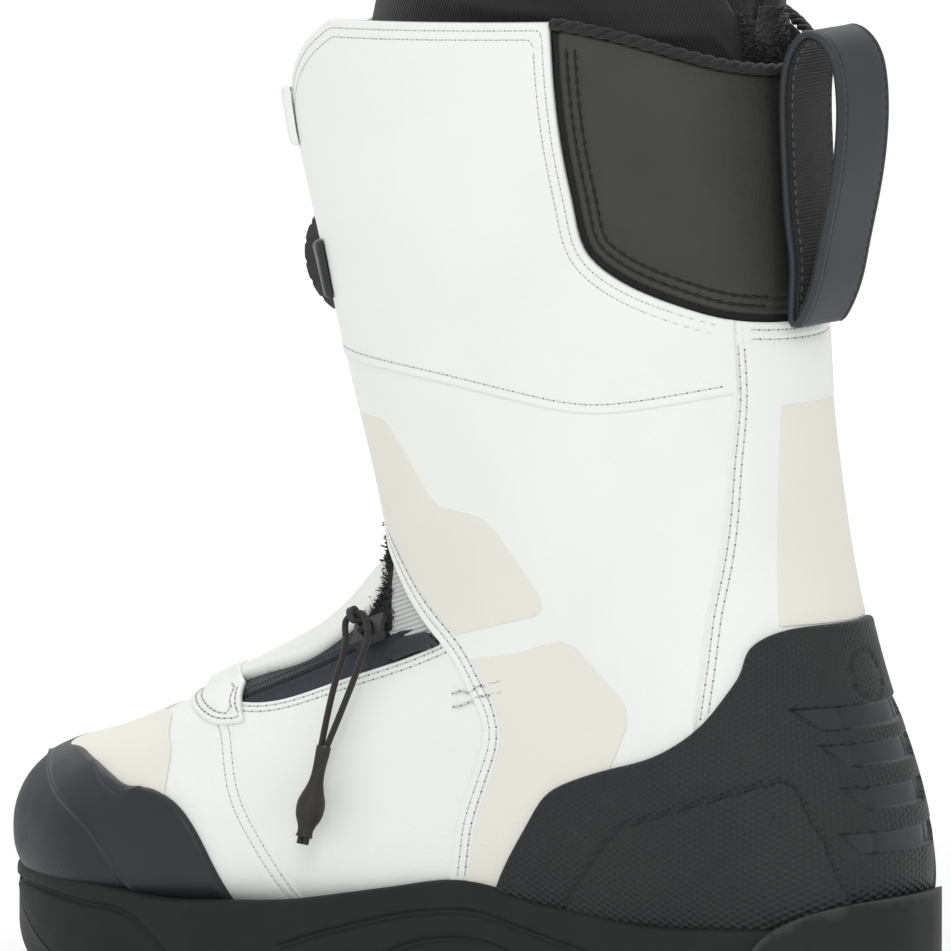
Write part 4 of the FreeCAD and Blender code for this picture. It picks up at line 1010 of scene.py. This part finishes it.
def white_stitches(g):
    """Stitch rows on the white panels."""
    low, sole = ("low", 1, -0.6), ("sole", 1, -0.5)
    medial, lateral = ("medial", 1, 0), ("medial", -1, 0)
    plan = [("vamp", level, [sole, ("cap", -1, -1), ("shroud", -1, 0)], -0.02) for level in (1.3, 4.0)]
    plan += [("low", level, [medial, ("vamp", -1, -0.5), ("quarter", -1, -0.5)],
              -0.15) for level in (1.4, 3.1)]
    stitches("stitching_forefoot", rows_on(g, plan), "thread_white_with_painted_shade", "hole_painted_shade_grey")
    plan = []
    for level in (2.2, 4.4):
        side = [("cuff", -1, -0.3), sole, ("counter", -1, 0), ("stay", -1, -0.3)]
        plan.append(("front_edge", level, side + [medial], 0.5))
        plan.append(("quarter", level, side + [lateral, ("z", -1, 138)], 0.5))
    stitches("stitching_quarters", rows_on(g, plan), "thread_white_with_painted_shade", "hole_painted_shade_grey")
    plan = [("cuff", 2.5, [("stay", -1, -0.3), medial, ("medial_flap", 1, -2)], 0.72),
            ("cuff", 2.5, [("stay", -1, -0.3), lateral, ("lateral_flap", 1, -2)], 0.72)]
    for level in (2.1, 4.6):
        plan.append(("cuff_edge", level, [medial, ("cuff", 1, -3.4), ("stay", -1, 0)], 0.1))
        plan.append(("cuff_edge_lateral", level, [lateral, ("cuff", 1, -3.4), ("stay", -1, 0)], 0.1))
        plan.append(("collar", -level, [("stay", 1, -5)], 0.25))
    for level in (2.3, 4.3):
        plan.append(("stay", level, [("collar", -1, -5), ("counter", -1, -0.5), sole], 0.25))
    stitches("stitching_cuff", rows_on(g, plan), "thread_white_with_painted_shade", "hole_painted_shade_grey")
    # short rows of reinforcing stitches across the quarter's front edge
    rows = []
    for x, z in ((-24.6, 97.2), (-25.6, 94.6)):
        span = np.linspace(-8.5, 8.5, 24)
        line = []
        for s in span:
            target = np.array([x + s, z - 0.32 * s])
            away = np.hypot(g.data[:, 0] - target[0], g.data[:, 2] - target[1]) + (g.data[:, 1] < 0) * 99
            near = np.argsort(away)[:4]
            weight = 1 / (away[near] + 0.05)
            line.append((g.data[near, :6] * weight[:, None]).sum(0) / weight.sum())
        line = np.array(line)
        rows.append((line[:, :3], line[:, 3:6], 0.75))
    stitches("stitching_reinforcement", rows, "thread_white_with_painted_shade", "hole_painted_shade_grey", 2.5, 0.9)


def patches(g):
    """Off-white overlays."""
    def on_quarter(f):
        return quarter_height(f) + 0.3

    for side, sign in (("medial", 1), ("lateral", -1)):
        edge = ("front_edge", 1, -5.6) if sign > 0 else ("quarter", 1, -5.6)
        flap = (side + "_flap", 1, -5.6)
        panel("ankle_patch_" + side, g, [("ankle", 1, 0), edge, flap, ("medial", sign, 0)],
              ["ankle", edge[0], flap[0]],
              on_quarter, 0.2, "offwhite_overlay", 0.2, (), ["overlay_upper_" + side])
        panel("midfoot_patch_" + side, g, [("midfoot", 1, 0), edge, ("counter", -1, 2), ("sole", 1, 2),
                                           ("medial", sign, 0)],
              ["midfoot", edge[0]], on_quarter, 0.2, "offwhite_overlay", 0.2, (), ["overlay_lower_" + side])
    panel("toe_patch_cover", g, [("toe_patch", 1, 0), ("cap", -1, 3)], ["toe_patch"], 0.9, 0.3,
          "offwhite_overlay", 0.25, (), ["overlay_toe"])
    panel("back_strip_cover", g, [("back_strip", 1, 0), ("behind", 1, 0), ("counter", -1, 3)], ["back_strip"],
          0.8, 0.2, "offwhite_overlay", 0.25, (), ["overlay_back"])


def round_the_end(f):
    """Flat pattern for the heel and toe: distance round the outline, and height."""
    x, y = f.x, f.y
    behind, ahead = np.maximum(-88 - x, 0), np.maximum(x - 88, 0)
    turn = np.arctan2(behind + ahead, np.abs(y)) * 36
    along = np.where(behind > 0, -88 - turn, np.where(ahead > 0, 88 + turn, x))
    along = np.where(y > 0, along, np.where(x < 0, -176 - 36 * math.pi - along, 176 + 36 * math.pi - along))
    return np.stack([along, f.z], 1)


RIBS = [(95.3, 89.3, 24.5), (85.4, 79.4, 21), (74, 68, 19), (62.3, 56.6, 22)]
RING = np.array([-122.2, 0.0, 102.6])


def rubber():
    """Toe cap and heel counter, on a finer grid than the fabric."""
    g = Grid(SHELL, 0.95, 0.0, float(np.interp(121, [row[3] for row in SECTIONS[10:]], STATIONS[10:])) + 1)
    g.region("counter", COUNTER_EDGE, [(-150, 34), (-150, 117.2)])
    g.region("cap", CAP_EDGE, [(150, 30), (150, 80)])
    g.region("facet", [], trimmed_corners(FACET + [(-130, 44), (-130, 30), (-50, 30)], 1.0))
    g.region("ridge_a", [(118, 79), (110, 74.5), (98, 68.5), (88, 62.5), (82, 61.5), (78, 63)],
             [(76, 95), (118, 95)])
    g.region("ridge_b", [(133, 66), (126, 67.5), (112, 61.5), (100, 56), (93, 52), (84, 42), (77, 34)],
             [(77, 20), (170, 20), (170, 66)])
    g.add("sole", g.data[:, 2] - np.interp(g.data[:, 0], *np.array(sorted(SOLE_TOP)).T))

    def cap_height(f):
        h = 2.6 + 0.5 * smooth(f.ridge_a / 1.4 + 0.5) - 0.45 * smooth(f.ridge_b / 1.4 + 0.5)
        h = h + 0.6 * bell(f.ridge_a, 0.7) + 0.6 * bell(f.ridge_b, 0.7)
        return h - 2.1 * smooth((f.x - 98) / 34)

    ridge_lines = [(name, level) for name in ("ridge_a", "ridge_b") for level in (-1.2, -0.6, 0, 0.6, 1.2)]
    panel("toe_cap_cover", g, [("cap", 1, 0), ("sole", 1, 0.6)], ["cap"], cap_height, 0.0,
          ["rubber_smooth", "rubber_hatch"], 1.9, ridge_lines, ["toe_cap"], round_the_end,
          lambda f: smooth(f.ridge_b))

    def slots(f):
        total = np.zeros(len(f.x))
        for top, low, end in RIBS:
            run = end - 0.95 * (top - f.z)
            slot = smooth((top - f.z) / 0.6 + 0.5) * smooth((f.z - low) / 1.2 + 0.5)
            total += slot * smooth((run - np.abs(f.y)) / 0.8 + 0.5) * (f.x < -100)
        return total

    def counter_height(f):
        h = 2.5 + 0.9 * smooth(f.facet / 0.9 + 0.5) - 0.25 * bell(f.facet + 0.8, 0.5)
        h = h - slots(f) * (1.35 + 0.8 * bell(np.abs(f.y) - 12.5, 0.8))
        away = np.sqrt((f.x - RING[0]) ** 2 + (f.y - RING[1]) ** 2 + (f.z - RING[2]) ** 2)
        return h - 0.7 * bell(away - 7.0, 0.6)

    rib_lines = [("facet", level) for level in (-1.2, -0.8, -0.4, 0, 0.4)]
    rib_lines += [("z", z + level) for top, low, _ in RIBS for z in (top, low) for level in (-0.5, 0, 0.5)]
    panel("heel_counter_cover", g, [("counter", 1, 0), ("sole", 1, 0.6)], ["counter"], counter_height, 0.0,
          ["rubber_hex", "rubber_smooth"], 1.6, rib_lines, ["heel_counter"], round_the_end,
          lambda f: np.maximum(slots(f), 0.0))


def tab_height(f):
    """The zipper's end tab climbs from the vamp over the edge of the instep cover."""
    return 1.5 + 2.1 * smooth((f.shroud + 2.5) / 4.5)


def throat(g):
    """Instep cover, gusset, tongue and everything round the zipper."""
    panel("instep_cover", g, [("shroud", 1, 0), ("vamp", -1, 1)], ["shroud"],
          lambda f: 0.9 + 1.9 * (1 - np.exp(-np.maximum(f.shroud,
                                                        0) / 3.2)) - 0.25 * bell(f.shroud - 3.4, 0.7),
          -2.2, "white_padded", 1.3, [("shroud", 2.7), ("shroud", 3.4),
                                      ("shroud", 4.1)], ["instep_shroud"])
    panel("gusset_cover", g, [("gusset", 1, 0.5), ("medial", 1, 0)], ["gusset"], -0.9, -2.2,
          "gusset_white", 0.3, (), ["throat_gusset"])
    panel("tongue_cover", g, [("tongue", 1, 0), ("tongue_top", 1, 0)], ["tongue_top"], -2.3, -4.2,
          "tongue_fabric", 0.8, (), ["shell_tongue"])
    panel("end_tab_cover", g, [("end_tab", 1, 0), ("medial", 1, -9)], ["end_tab"],
          lambda f: tab_height(f) - 0.25 * bell(f.end_tab - 1.6,
                                                0.5) - 0.25 * bell(f.end_tab - 3.4,
                                                                   0.5), 0.05, "white_upper", 0.7,
          [("end_tab", 1.6), ("end_tab", 3.4)], ["zipper_end_tab"])
    plan = [("end_tab", level, [("medial", 1, -10), ("z", -1, 90.5), ("shroud", -1, -1.5)],
             1.4) for level in (1.6, 3.4)]
    stitches("stitching_end_tab", rows_on(g, plan), "thread_white_with_painted_shade", "hole_painted_shade_grey", 2.4, 0.85)
    panel("end_strap_cover", g, [("end_strap", 1, 0), ("medial", 1, -5)], ["end_strap"], 1.6, 0.05,
          "strap_coated", 0.45, (), ["zipper_end_strap"])

    g.region("pile", [(28, 144), (22, 134.5), (20.5, 127), (20.5, 118), (21.5, 112), (15, 108.6), (9, 110.6)],
             [(11, 115), (14, 121), (15.5, 129), (23, 141)])
    panel("throat_pile", g, [("pile", 1, 0), ("medial", 1, -4)], ["pile"], -0.5, -1.6, "fleece", 0.4,
          ())
    tufts("throat_pile_tufts", g, (g.get("pile") > -0.3) & (g.get("medial") > 6), 520, 0.55, -0.6, 1.5)

    # tape, with the closed coil showing as two beads and a slit
    def tape_height(f):
        d = np.abs(f.zip_across)
        return -1.15 + 0.75 * bell(d - 1.5, 1.0) - 0.75 * bell(d, 0.4)

    across = [("zip_across", level) for level in (-4, -2.5, -1.5, -0.8, -0.35, 0.35, 0.8, 1.5, 2.5, 4)]
    for side, sign in (("lower", 1), ("upper", -1)):
        panel("zipper_tape_" + side, g, [("zip", 1, 1.5), ("medial", 1, 0), ("zip_across", sign, -0.05),
                                         ("vamp", -1, 0)],
              ["zip_across"], tape_height, -1.9, "zipper_tape", 0.15, across, ["zipper_stringer_" + side])


def cable_guides(g):
    """Low rounded guides that the dial cables run through, near the edge of the medial flap."""
    for end, station in (("lower", 67.55), ("upper", 76.28)):
        at = skin(np.array(station), np.array(28.0))
        ahead = skin(np.array(station + 0.5), np.array(28.0))
        up = (ahead - at) / np.linalg.norm(ahead - at)
        step = skin(np.array(station), np.array(28.5)) - at
        out = step / np.linalg.norm(step)
        away = g.data[:, :3] - at
        near = np.linalg.norm(away, axis=1) < 25
        field = np.minimum(5.2 - np.abs(away @ out), 8.2 - np.abs(away @ up))
        g.add("guide_" + end, np.where(near, field, -9))
        look = "dial_plastic" if end == "lower" else "white_upper"
        panel("cable_guide_" + end, g, [("guide_" + end, 1, 0)], ["guide_" + end], 2.75, 1.15, look,
              1.7, (), ["lace_guide_" + end])


def zipper_coil():
    """Turns of the nylon coil that show in the slit between the two tapes."""
    shapes = []
    turn = bead([(-0.8, 0.7), (0, 1.0), (0.8, 0.7)], 8)
    for k in range(34):
        s = 1.0 + k * 1.3
        for side in (-1, 1):
            at = ZIP_START + ZIP_ALONG * (s + 0.32 * side) + ZIP_ACROSS * 0.35 * side + ZIP_OUT * 0.15
            shapes.append((turn, at, np.array([ZIP_ACROSS, ZIP_ALONG, ZIP_OUT]),
                           np.array([0.55, 0.32, 0.35]), 0))
    verts, faces, _ = scatter(shapes)
    make("zipper_coil", verts, faces, "zipper_coil")


# ---- collar, loop -------------------------------------------------------------------------------

def tube_mesh(points, radius, sides=10, closed=False):
    """Tube round a line of points; radius may change along it."""
    p = np.asarray(points, float)
    r = np.broadcast_to(radius, len(p))
    t = np.gradient(p, axis=0)
    if closed:
        t = np.roll(p, -1, 0) - np.roll(p, 1, 0)
    t /= np.linalg.norm(t, axis=1)[:, None]
    n = np.cross(t[0], (0, 0, 1) if abs(t[0][2]) < 0.9 else (1, 0, 0))
    frames = []
    for k in range(len(p)):
        n = n - t[k] * (n @ t[k])
        n /= np.linalg.norm(n)
        frames.append((n, np.cross(t[k], n)))
    a = np.arange(sides) * 2 * math.pi / sides
    verts = np.vstack([p[k] + r[k] * (np.outer(np.cos(a),
                                               frames[k][0]) + np.outer(np.sin(a), frames[k][1])) for k in range(len(p))])
    faces = []
    for k in range(len(p) - (0 if closed else 1)):
        m = (k + 1) % len(p)
        faces += ring_quads(k * sides, m * sides, sides)
    if not closed:
        faces += [tuple(range(sides))[::-1], tuple((len(p) - 1) * sides + j for j in range(sides))]
    return verts, faces


def merged(parts):
    """Several meshes as one."""
    verts, faces = [], []
    base = 0
    for v, f in parts:
        verts.append(v)
        faces += [tuple(base + i for i in g) for g in f]
        base += len(v)
    return np.vstack(verts), faces


def collar(g):
    """Black collar panel with its lining, stitches and twisted edge."""
    def height(f):
        d = f.collar - 1.9
        top = f.collar_top
        puff = 1.5 * smooth(np.minimum(d, top) / 14)
        return -1.0 + puff - 0.3 * bell(d - 2.4, 0.6) - 0.3 * bell(d - 4.9, 0.6)

    lines = [("collar", 1.9 + level + s) for level in (2.4, 4.9) for s in (-0.6, 0, 0.6)]
    o = panel("collar_cover", g, [("collar", 1, -1.9), ("collar_top", 1, 0)], ["collar", "collar_top"],
              height, -2.4,
              "collar_fabric", 1.0, lines, ["collar_panel"])
    panel("collar_lining", g, [("collar", 1, 1.0), ("collar_top", 1, -1.0), ("collar", -1, 7)], [], -1.75,
          -2.7, "lining_black", 0.3, ())
    rows = rows_on(g, [("collar", 1.9 + level, [("collar_top", 1, -1.5), ("medial", sign, -13)], lift)
                       for level, lift in ((2.4, -0.95), (4.9, -0.65)) for sign in (1, -1)])
    stitches("stitching_collar", rows, "thread_black", "hole_painted_shade_black", 3.3, 1.15, 0.44)
    parts = []
    for p, n in level_lines(g, "collar_top", -1.5, [("collar", 1, -0.4)]):
        q, t, out = resample(p, n, 0.9)
        side = np.cross(out, t)
        s = np.arange(len(q)) * 0.9
        for k in range(3):
            turn = 2 * math.pi * (s / 12.5 + k / 3)
            line = q - out * 0.7 + (out * np.cos(turn)[:, None] + side * np.sin(turn)[:, None]) * 0.85
            parts.append(tube_mesh(line, 0.92, 8))
    v, f = merged(parts)
    o = make("collar_rope", v, f, "binding_fabric")
    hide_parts("collar_binding")


LOOP = [(-108.4, 199), (-107.9, 210), (-106.6, 225), (-105.4, 240), (-104.8, 252), (-105, 264),
        (-107.2, 272), (-112.3, 276.6), (-118, 273.5), (-121.3, 265), (-121.8, 252), (-119.6, 235),
        (-115.8, 218), (-111.6, 204)]


def closed_path(points, lap, count):
    """Even points round a smooth closed outline, with outward directions and the length run so far."""
    p = np.array(points[-lap:] + points + points[:lap], float)
    s = np.concatenate([[0], np.cumsum(np.linalg.norm(np.diff(p, axis=0), axis=1))])
    at = np.linspace(s[lap], s[lap + len(points)], count + 1)[:-1]
    q = spline(s, p)(at)
    t = np.roll(q, -1, 0) - np.roll(q, 1, 0)
    t /= np.linalg.norm(t, axis=1)[:, None]
    out = np.stack([t[:, 1], -t[:, 0]], 1)
    if ((q - q.mean(0)) * out).sum() < 0:
        out = -out
    return q, out, at - s[lap]


def pull_loop():
    """Heel strap and the webbing inside it, swept round the loop, with stitches along both edges."""
    q, out, along = closed_path(LOOP, 3, 149)

    def ribbon(name, profile, look, node):
        count = len(profile)
        y, h = np.array(profile, float).T
        verts = np.stack([q[:, None, 0] + out[:, None, 0] * h, np.broadcast_to(y, (len(q), count)),
                          q[:, None, 1] + out[:, None, 1] * h], 2).reshape(-1, 3)
        faces = []
        for i in range(len(q)):
            faces += ring_quads(i * count, (i + 1) % len(q) * count, count)
        uv = np.stack([np.broadcast_to(y, (len(q), count)),
                       np.broadcast_to(along[:, None], (len(q), count))], 2)
        o = make(name, verts, faces, look, uv.reshape(-1, 2))
        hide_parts(node)

    top = [(-12.5, 0.1), (-12.45, 0.9), (-12.0, 1.5), (-11.2, 1.75), (-10.6, 1.7), (-10.2, 1.3), (-9.8, 1.6),
           (-9, 1.65),
           (-5, 1.6), (0, 1.62)]
    profile = top + [(-y, h) for y, h in top[::-1][1:]] + [(12.3, -0.3), (10, -0.4), (0, -0.4), (-10, -0.4),
                                                           (-12.3, -0.3)]
    ribbon("pull_strap", profile, "strap_coated", "pull_loop")
    inner = [(-10.8, -0.45), (10.8, -0.45), (11.2, -0.8), (10.9, -1.35), (10, -1.5), (0, -1.5), (-10, -1.5),
             (-10.9, -1.35),
             (-11.2, -0.8)]
    ribbon("pull_webbing", inner, "webbing_black", "pull_loop_webbing")
    rows = []
    n3 = np.stack([out[:, 0], np.zeros(len(q)), out[:, 1]], 1)
    for y in (-10.2, 10.2):
        line = np.stack([q[:, 0] + out[:, 0] * 1.3, np.full(len(q), y), q[:, 1] + out[:, 1] * 1.3], 1)
        rows.append((np.vstack([line, line[:1]]), np.vstack([n3, n3[:1]]), 0.1))
        line = np.stack([q[:, 0] - out[:, 0] * 1.5, np.full(len(q), y * 0.97), q[:, 1] - out[:, 1] * 1.5], 1)
        rows.append((np.vstack([line, line[:1]]), -np.vstack([n3, n3[:1]]), 0.05))
    stitches("stitching_loop", rows, "thread_grey", "hole_painted_shade_black", 2.6, 0.95, 0.24)


# ---- sole ---------------------------------------------------------------------------------------

def line_distance(x, z, points):
    """Distance to a smooth line in side view."""
    line = curve(points)
    best = np.full(x.shape, 1e9)
    for (ax, az), (bx, bz) in zip(line, line[1:]):
        ux, uz = bx - ax, bz - az
        t = np.clip(((x - ax) * ux + (z - az) * uz) / (ux * ux + uz * uz), 0, 1)
        best = np.minimum(best, np.hypot(x - ax - t * ux, z - az - t * uz))
    return best


GROOVES = [
    [(139, 33), (126, 33.8), (108, 33.2), (92, 31.6), (80, 30.2), (72, 25), (62, 16), (55, 9)],
    [(32, 24), (22, 27.5), (8, 31.6), (-6, 34.8), (-16, 36), (-23.5, 36.3), (-34, 34.2), (-46, 31),
     (-60, 27.5)],
    [(4, 22), (-6, 26.5), (-18, 28.6), (-28, 28.2), (-40, 24)],
]


def midsole():
    """Side wall of the midsole, grooved, with a ledge at its top and bottom."""
    q, out, _ = closed_path(SOLE_OUTLINE, 4, 760)
    x = q[:, 0]
    top = np.interp(x, *curve(sorted(SOLE_TOP)).T)
    spring = np.array(curve(SOLE_BOTTOM))
    low = np.where(x > 85, np.interp(x, spring[:, 0], spring[:, 1]),
                   0) + 9 + np.maximum(0, (-134 - x) * 9 / 16)
    rows = 56
    t = np.linspace(0, 1, rows)[None, :]
    z = low[:, None] + (top - low)[:, None] * t
    from_top = top[:, None] - z
    from_low = z - low[:, None]
    grow = 0.5 * np.sin(np.pi * t) - rounding(from_top, 1.8) - rounding(from_low, 0.8)
    xs = np.broadcast_to(x[:, None], z.shape)
    for groove in GROOVES:
        grow = grow - 1.5 * bell(line_distance(xs, z, groove), 0.8)
    wall = np.stack([q[:, None, 0] + out[:, None, 0] * grow, q[:, None, 1] + out[:, None, 1] * grow, z], 2)
    ledge = []
    for inset, drop in ((3.5, 0.0), (7, -0.4), (10, -2)):
        ledge.append(np.stack([q[:, 0] - out[:, 0] * inset, q[:, 1] - out[:, 1] * inset, top + drop], 1))
    for inset in (10, 4):
        ledge.append(np.stack([q[:, 0] - out[:, 0] * inset, q[:, 1] - out[:, 1] * inset,
                               low + (0.3 if inset == 10 else 0)], 1))
    verts = np.concatenate([wall, np.stack(ledge, 1)], 1)
    count = verts.shape[1]
    faces = []
    for i in range(len(q)):
        faces += ring_quads(i * count, (i + 1) % len(q) * count, count)
    o = make("midsole_wall", verts.reshape(-1, 3), faces, "midsole_foam")
    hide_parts("midsole")


# ---- liner --------------------------------------------------------------------------------------

def liner():
    """Liner boot, cuff, tongue, fleece and footbed."""
    g = Grid(LINER, 2.2)
    x, y, z = g.data[:, 0], g.data[:, 1], g.data[:, 2]
    plane = np.interp(x, [-100, 20], [293, 302])
    notch = np.where(x < -60, 270 + 22 * smooth(np.abs(y) / 22), 400)
    g.add_distance("top", np.minimum(plane, notch) - z)
    g.add("split", z - 216)
    g.add("back", 11 - np.abs(y) - (x > -60) * 99)
    g.add("low_inside", 42 - z)

    def cuff_height(f):
        ridge = 0.9 * bell(f.top - 15, 2.2) * (f.x < -20)
        return -4.6 + 1.0 * smooth(f.top / 10) - 0.9 + ridge

    o = panel("liner_cuff_cover", g, [("split", 1, 0), ("top", 1, 0)], ["top"], cuff_height,
              lambda f: -10 + rounding(f.top, 2.6), "liner_fabric", 2.6,
              [("top", level) for level in (3.5, 6, 13, 15, 17)], ["liner_cuff"])
    o = panel("liner_boot_cover", g, [("split", -1, 0)], [], -4.7, -10, "liner_fabric", 0.5, (),
              ["liner_boot"])
    g.region("front", [(4, 200), (2, 150), (6, 118), (30, 100), (60, 80)], [(90, 84), (90, 298), (4, 298)])
    g.add("narrow", 24 - np.abs(y))
    g.add("tongue_top", 298 - z)
    o = panel("liner_tongue_cover", g, [("front", 1, 0), ("narrow", 1, 0), ("tongue_top", 1, 0)],
              ["front", "narrow", "tongue_top"],
              -10.2, -13.2, "liner_fabric", 1.4, (), ["liner_tongue"])
    g.add("rear", -44 - x)
    g.add("high", z - 236)
    o = panel("fleece_lining", g, [("rear", 1, 0), ("high", 1, 0), ("top", 1, -1.2)], ["rear", "high", "top"],
              -10.1, -12.7, "fleece", 1.0, (), ["liner_fleece"])
    panel("fleece_back", g, [("back", 1, 0), ("high", 1, -14), ("top", 1, 1.0)], ["back", "high", "top"],
          -3.6, -10.4, "fleece", 1.6, ())
    spots = (g.get("back") > -1) & (g.get("top") > -1.2) & (g.get("top") < 26) & (g.get("high") > 10)
    tufts("fleece_tufts", g, spots, 1100, 0.8, -3.9, 1.9)
    low = panel("footbed_cover", g, [("low_inside", 1, 0), ("x", 1, 118), ("x", -1, 122)], ["low_inside"],
                -10.2,
                -13.6, "footbed_foam", 0.8, (), ["footbed"])
    rows = rows_on(g, [("top", level, [("x", -1, 5)], -4.6) for level in (12.6, 17.4)])
    stitches("stitching_liner", rows, "thread_black", "hole_painted_shade_black", 3.0, 1.1, 0.34)


# ---- zipper puller ------------------------------------------------------------------------------

FRONT_CORD = [(15.949, 37.743, 114.589), (18.047, 37.819, 113.701), (18.444, 38.486, 111.356),
              (16.662, 40.103, 106.512), (19.093, 44.42, 93.133), (19.937, 47.893, 79.631)]
REAR_CORD = [(15.912, 37.742, 114.604), (13.813, 37.667, 115.492), (11.816, 38.249, 114.16),
             (9.483, 39.846, 109.55), (12.973, 44.54, 94.456), (18.051, 48.077, 79.485)]


def cord(name, points, node):
    """One leg of the zipper puller's cord."""
    data = bpy.data.curves.new(name, "CURVE")
    data.dimensions = "3D"
    data.bevel_depth = 0.9 * MM
    data.bevel_resolution = 5
    data.resolution_u = 16
    data.use_fill_caps = True
    line = data.splines.new("NURBS")
    line.points.add(len(points) - 1)
    for spot, p in zip(line.points, points):
        spot.co = (p[0] * MM, p[1] * MM, p[2] * MM, 1)
    line.order_u = 3
    line.use_endpoint_u = True
    o = bpy.data.objects.new(name, data)
    scene.collection.objects.link(o)
    data.materials.append(LOOK["puller_cord"])
    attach(o, "puller")
    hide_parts(node)


def hard_parts():
    """CAD nodes that keep their own shape."""
    same = {
        "outsole": "sole_rubber", "heel_bumper": "sole_rubber", "shank": "shank_plastic", "heel_shock_pad": "gel",
        "lasting_board": "board_fibre", "zipper_slider": "zipper_metal", "zipper_pull_tab": "zipper_metal",
        "puller_sleeve": "puller_sleeve",
    }
    for end in ("lower", "upper"):
        same["dial_base_" + end] = "dial_plastic"
        same["dial_spool_" + end] = "dial_inner"
        same["dial_pawl_disc_" + end] = "dial_inner"
        same["dial_knob_" + end] = "dial_plastic"
        same["dial_grip_" + end] = "dial_grip"
        same["dial_screw_" + end] = "steel"
        same["lace_" + end] = "lace_cable"
    bevels = {"outsole": 0.6, "heel_bumper": 2.0, "zipper_slider": 0.25, "zipper_pull_tab": 0.2}
    for name, look in same.items():
        o = nodes[name]
        o.data.materials.clear()
        o.data.materials.append(LOOK[look])
        size = bevels.get(name, 0.3 if name.startswith("dial") and "screw" not in name else 0)
        if size:
            soft = o.modifiers.new("rounded", "BEVEL")
            soft.width = size * MM
            soft.segments = 2
            soft.angle_limit = math.radians(40)
            soft.harden_normals = False


# ---- light --------------------------------------------------------------------------------------

def stage():
    """Floor, world and lights."""
    m = Look("floor_paint", (250, 250, 250), 0.75)
    m.vary(m.noise(900), (246, 246, 246), 0.4, 0.7, 0.5).bump(m.noise(3, 2), 0.04, 0.3)
    mesh = bpy.data.meshes.new("floor")
    ring = [(60 * math.cos(a), 60 * math.sin(a), 0) for a in np.linspace(0, 2 * math.pi, 65)[:-1]]
    mesh.from_pydata(ring, [], [tuple(range(64))])
    mesh.materials.append(m.done())
    floor = bpy.data.objects.new("floor", mesh)
    scene.collection.objects.link(floor)
    world = bpy.data.worlds.new("studio")
    scene.world = world
    world.use_nodes = True
    back = world.node_tree.nodes["Background"]
    back.inputs["Color"].default_value = (1, 1, 1, 1)
    back.inputs["Strength"].default_value = 0.74
    for name, place, size, power in (("key", (-0.9, 1.7, 1.5), 1.1, 11.0),
                                     ("fill", (1.6, 1.4, 0.9), 1.8, 0.5),
                                     ("back", (0.95, -1.5, 1.7), 3.0, 22)):
        data = bpy.data.lights.new(name, "AREA")
        data.shape = "DISK"
        data.size = size
        data.energy = power
        lamp = bpy.data.objects.new(name, data)
        scene.collection.objects.link(lamp)
        lamp.location = place
        lamp.rotation_mode = "QUATERNION"
        aim = Vector((0.95, -1.5, 0)) if name == "back" else Vector((0, 0, 0.12))
        lamp.rotation_quaternion = (Vector(place) - aim).to_track_quat("Z", "Y")
        lamp.visible_camera = False
    scene.view_settings.view_transform = "Standard"


# ---- build --------------------------------------------------------------------------------------

cord("cord_front", FRONT_CORD, "puller_cord_front")
cord("cord_rear", REAR_CORD, "puller_cord_rear")
hard_parts()
upper = upper_grid()
white_panels(upper)
white_stitches(upper)
patches(upper)
rubber()
throat(upper)
cable_guides(upper)
zipper_coil()
collar(upper)
pull_loop()
midsole()
liner()
stage()
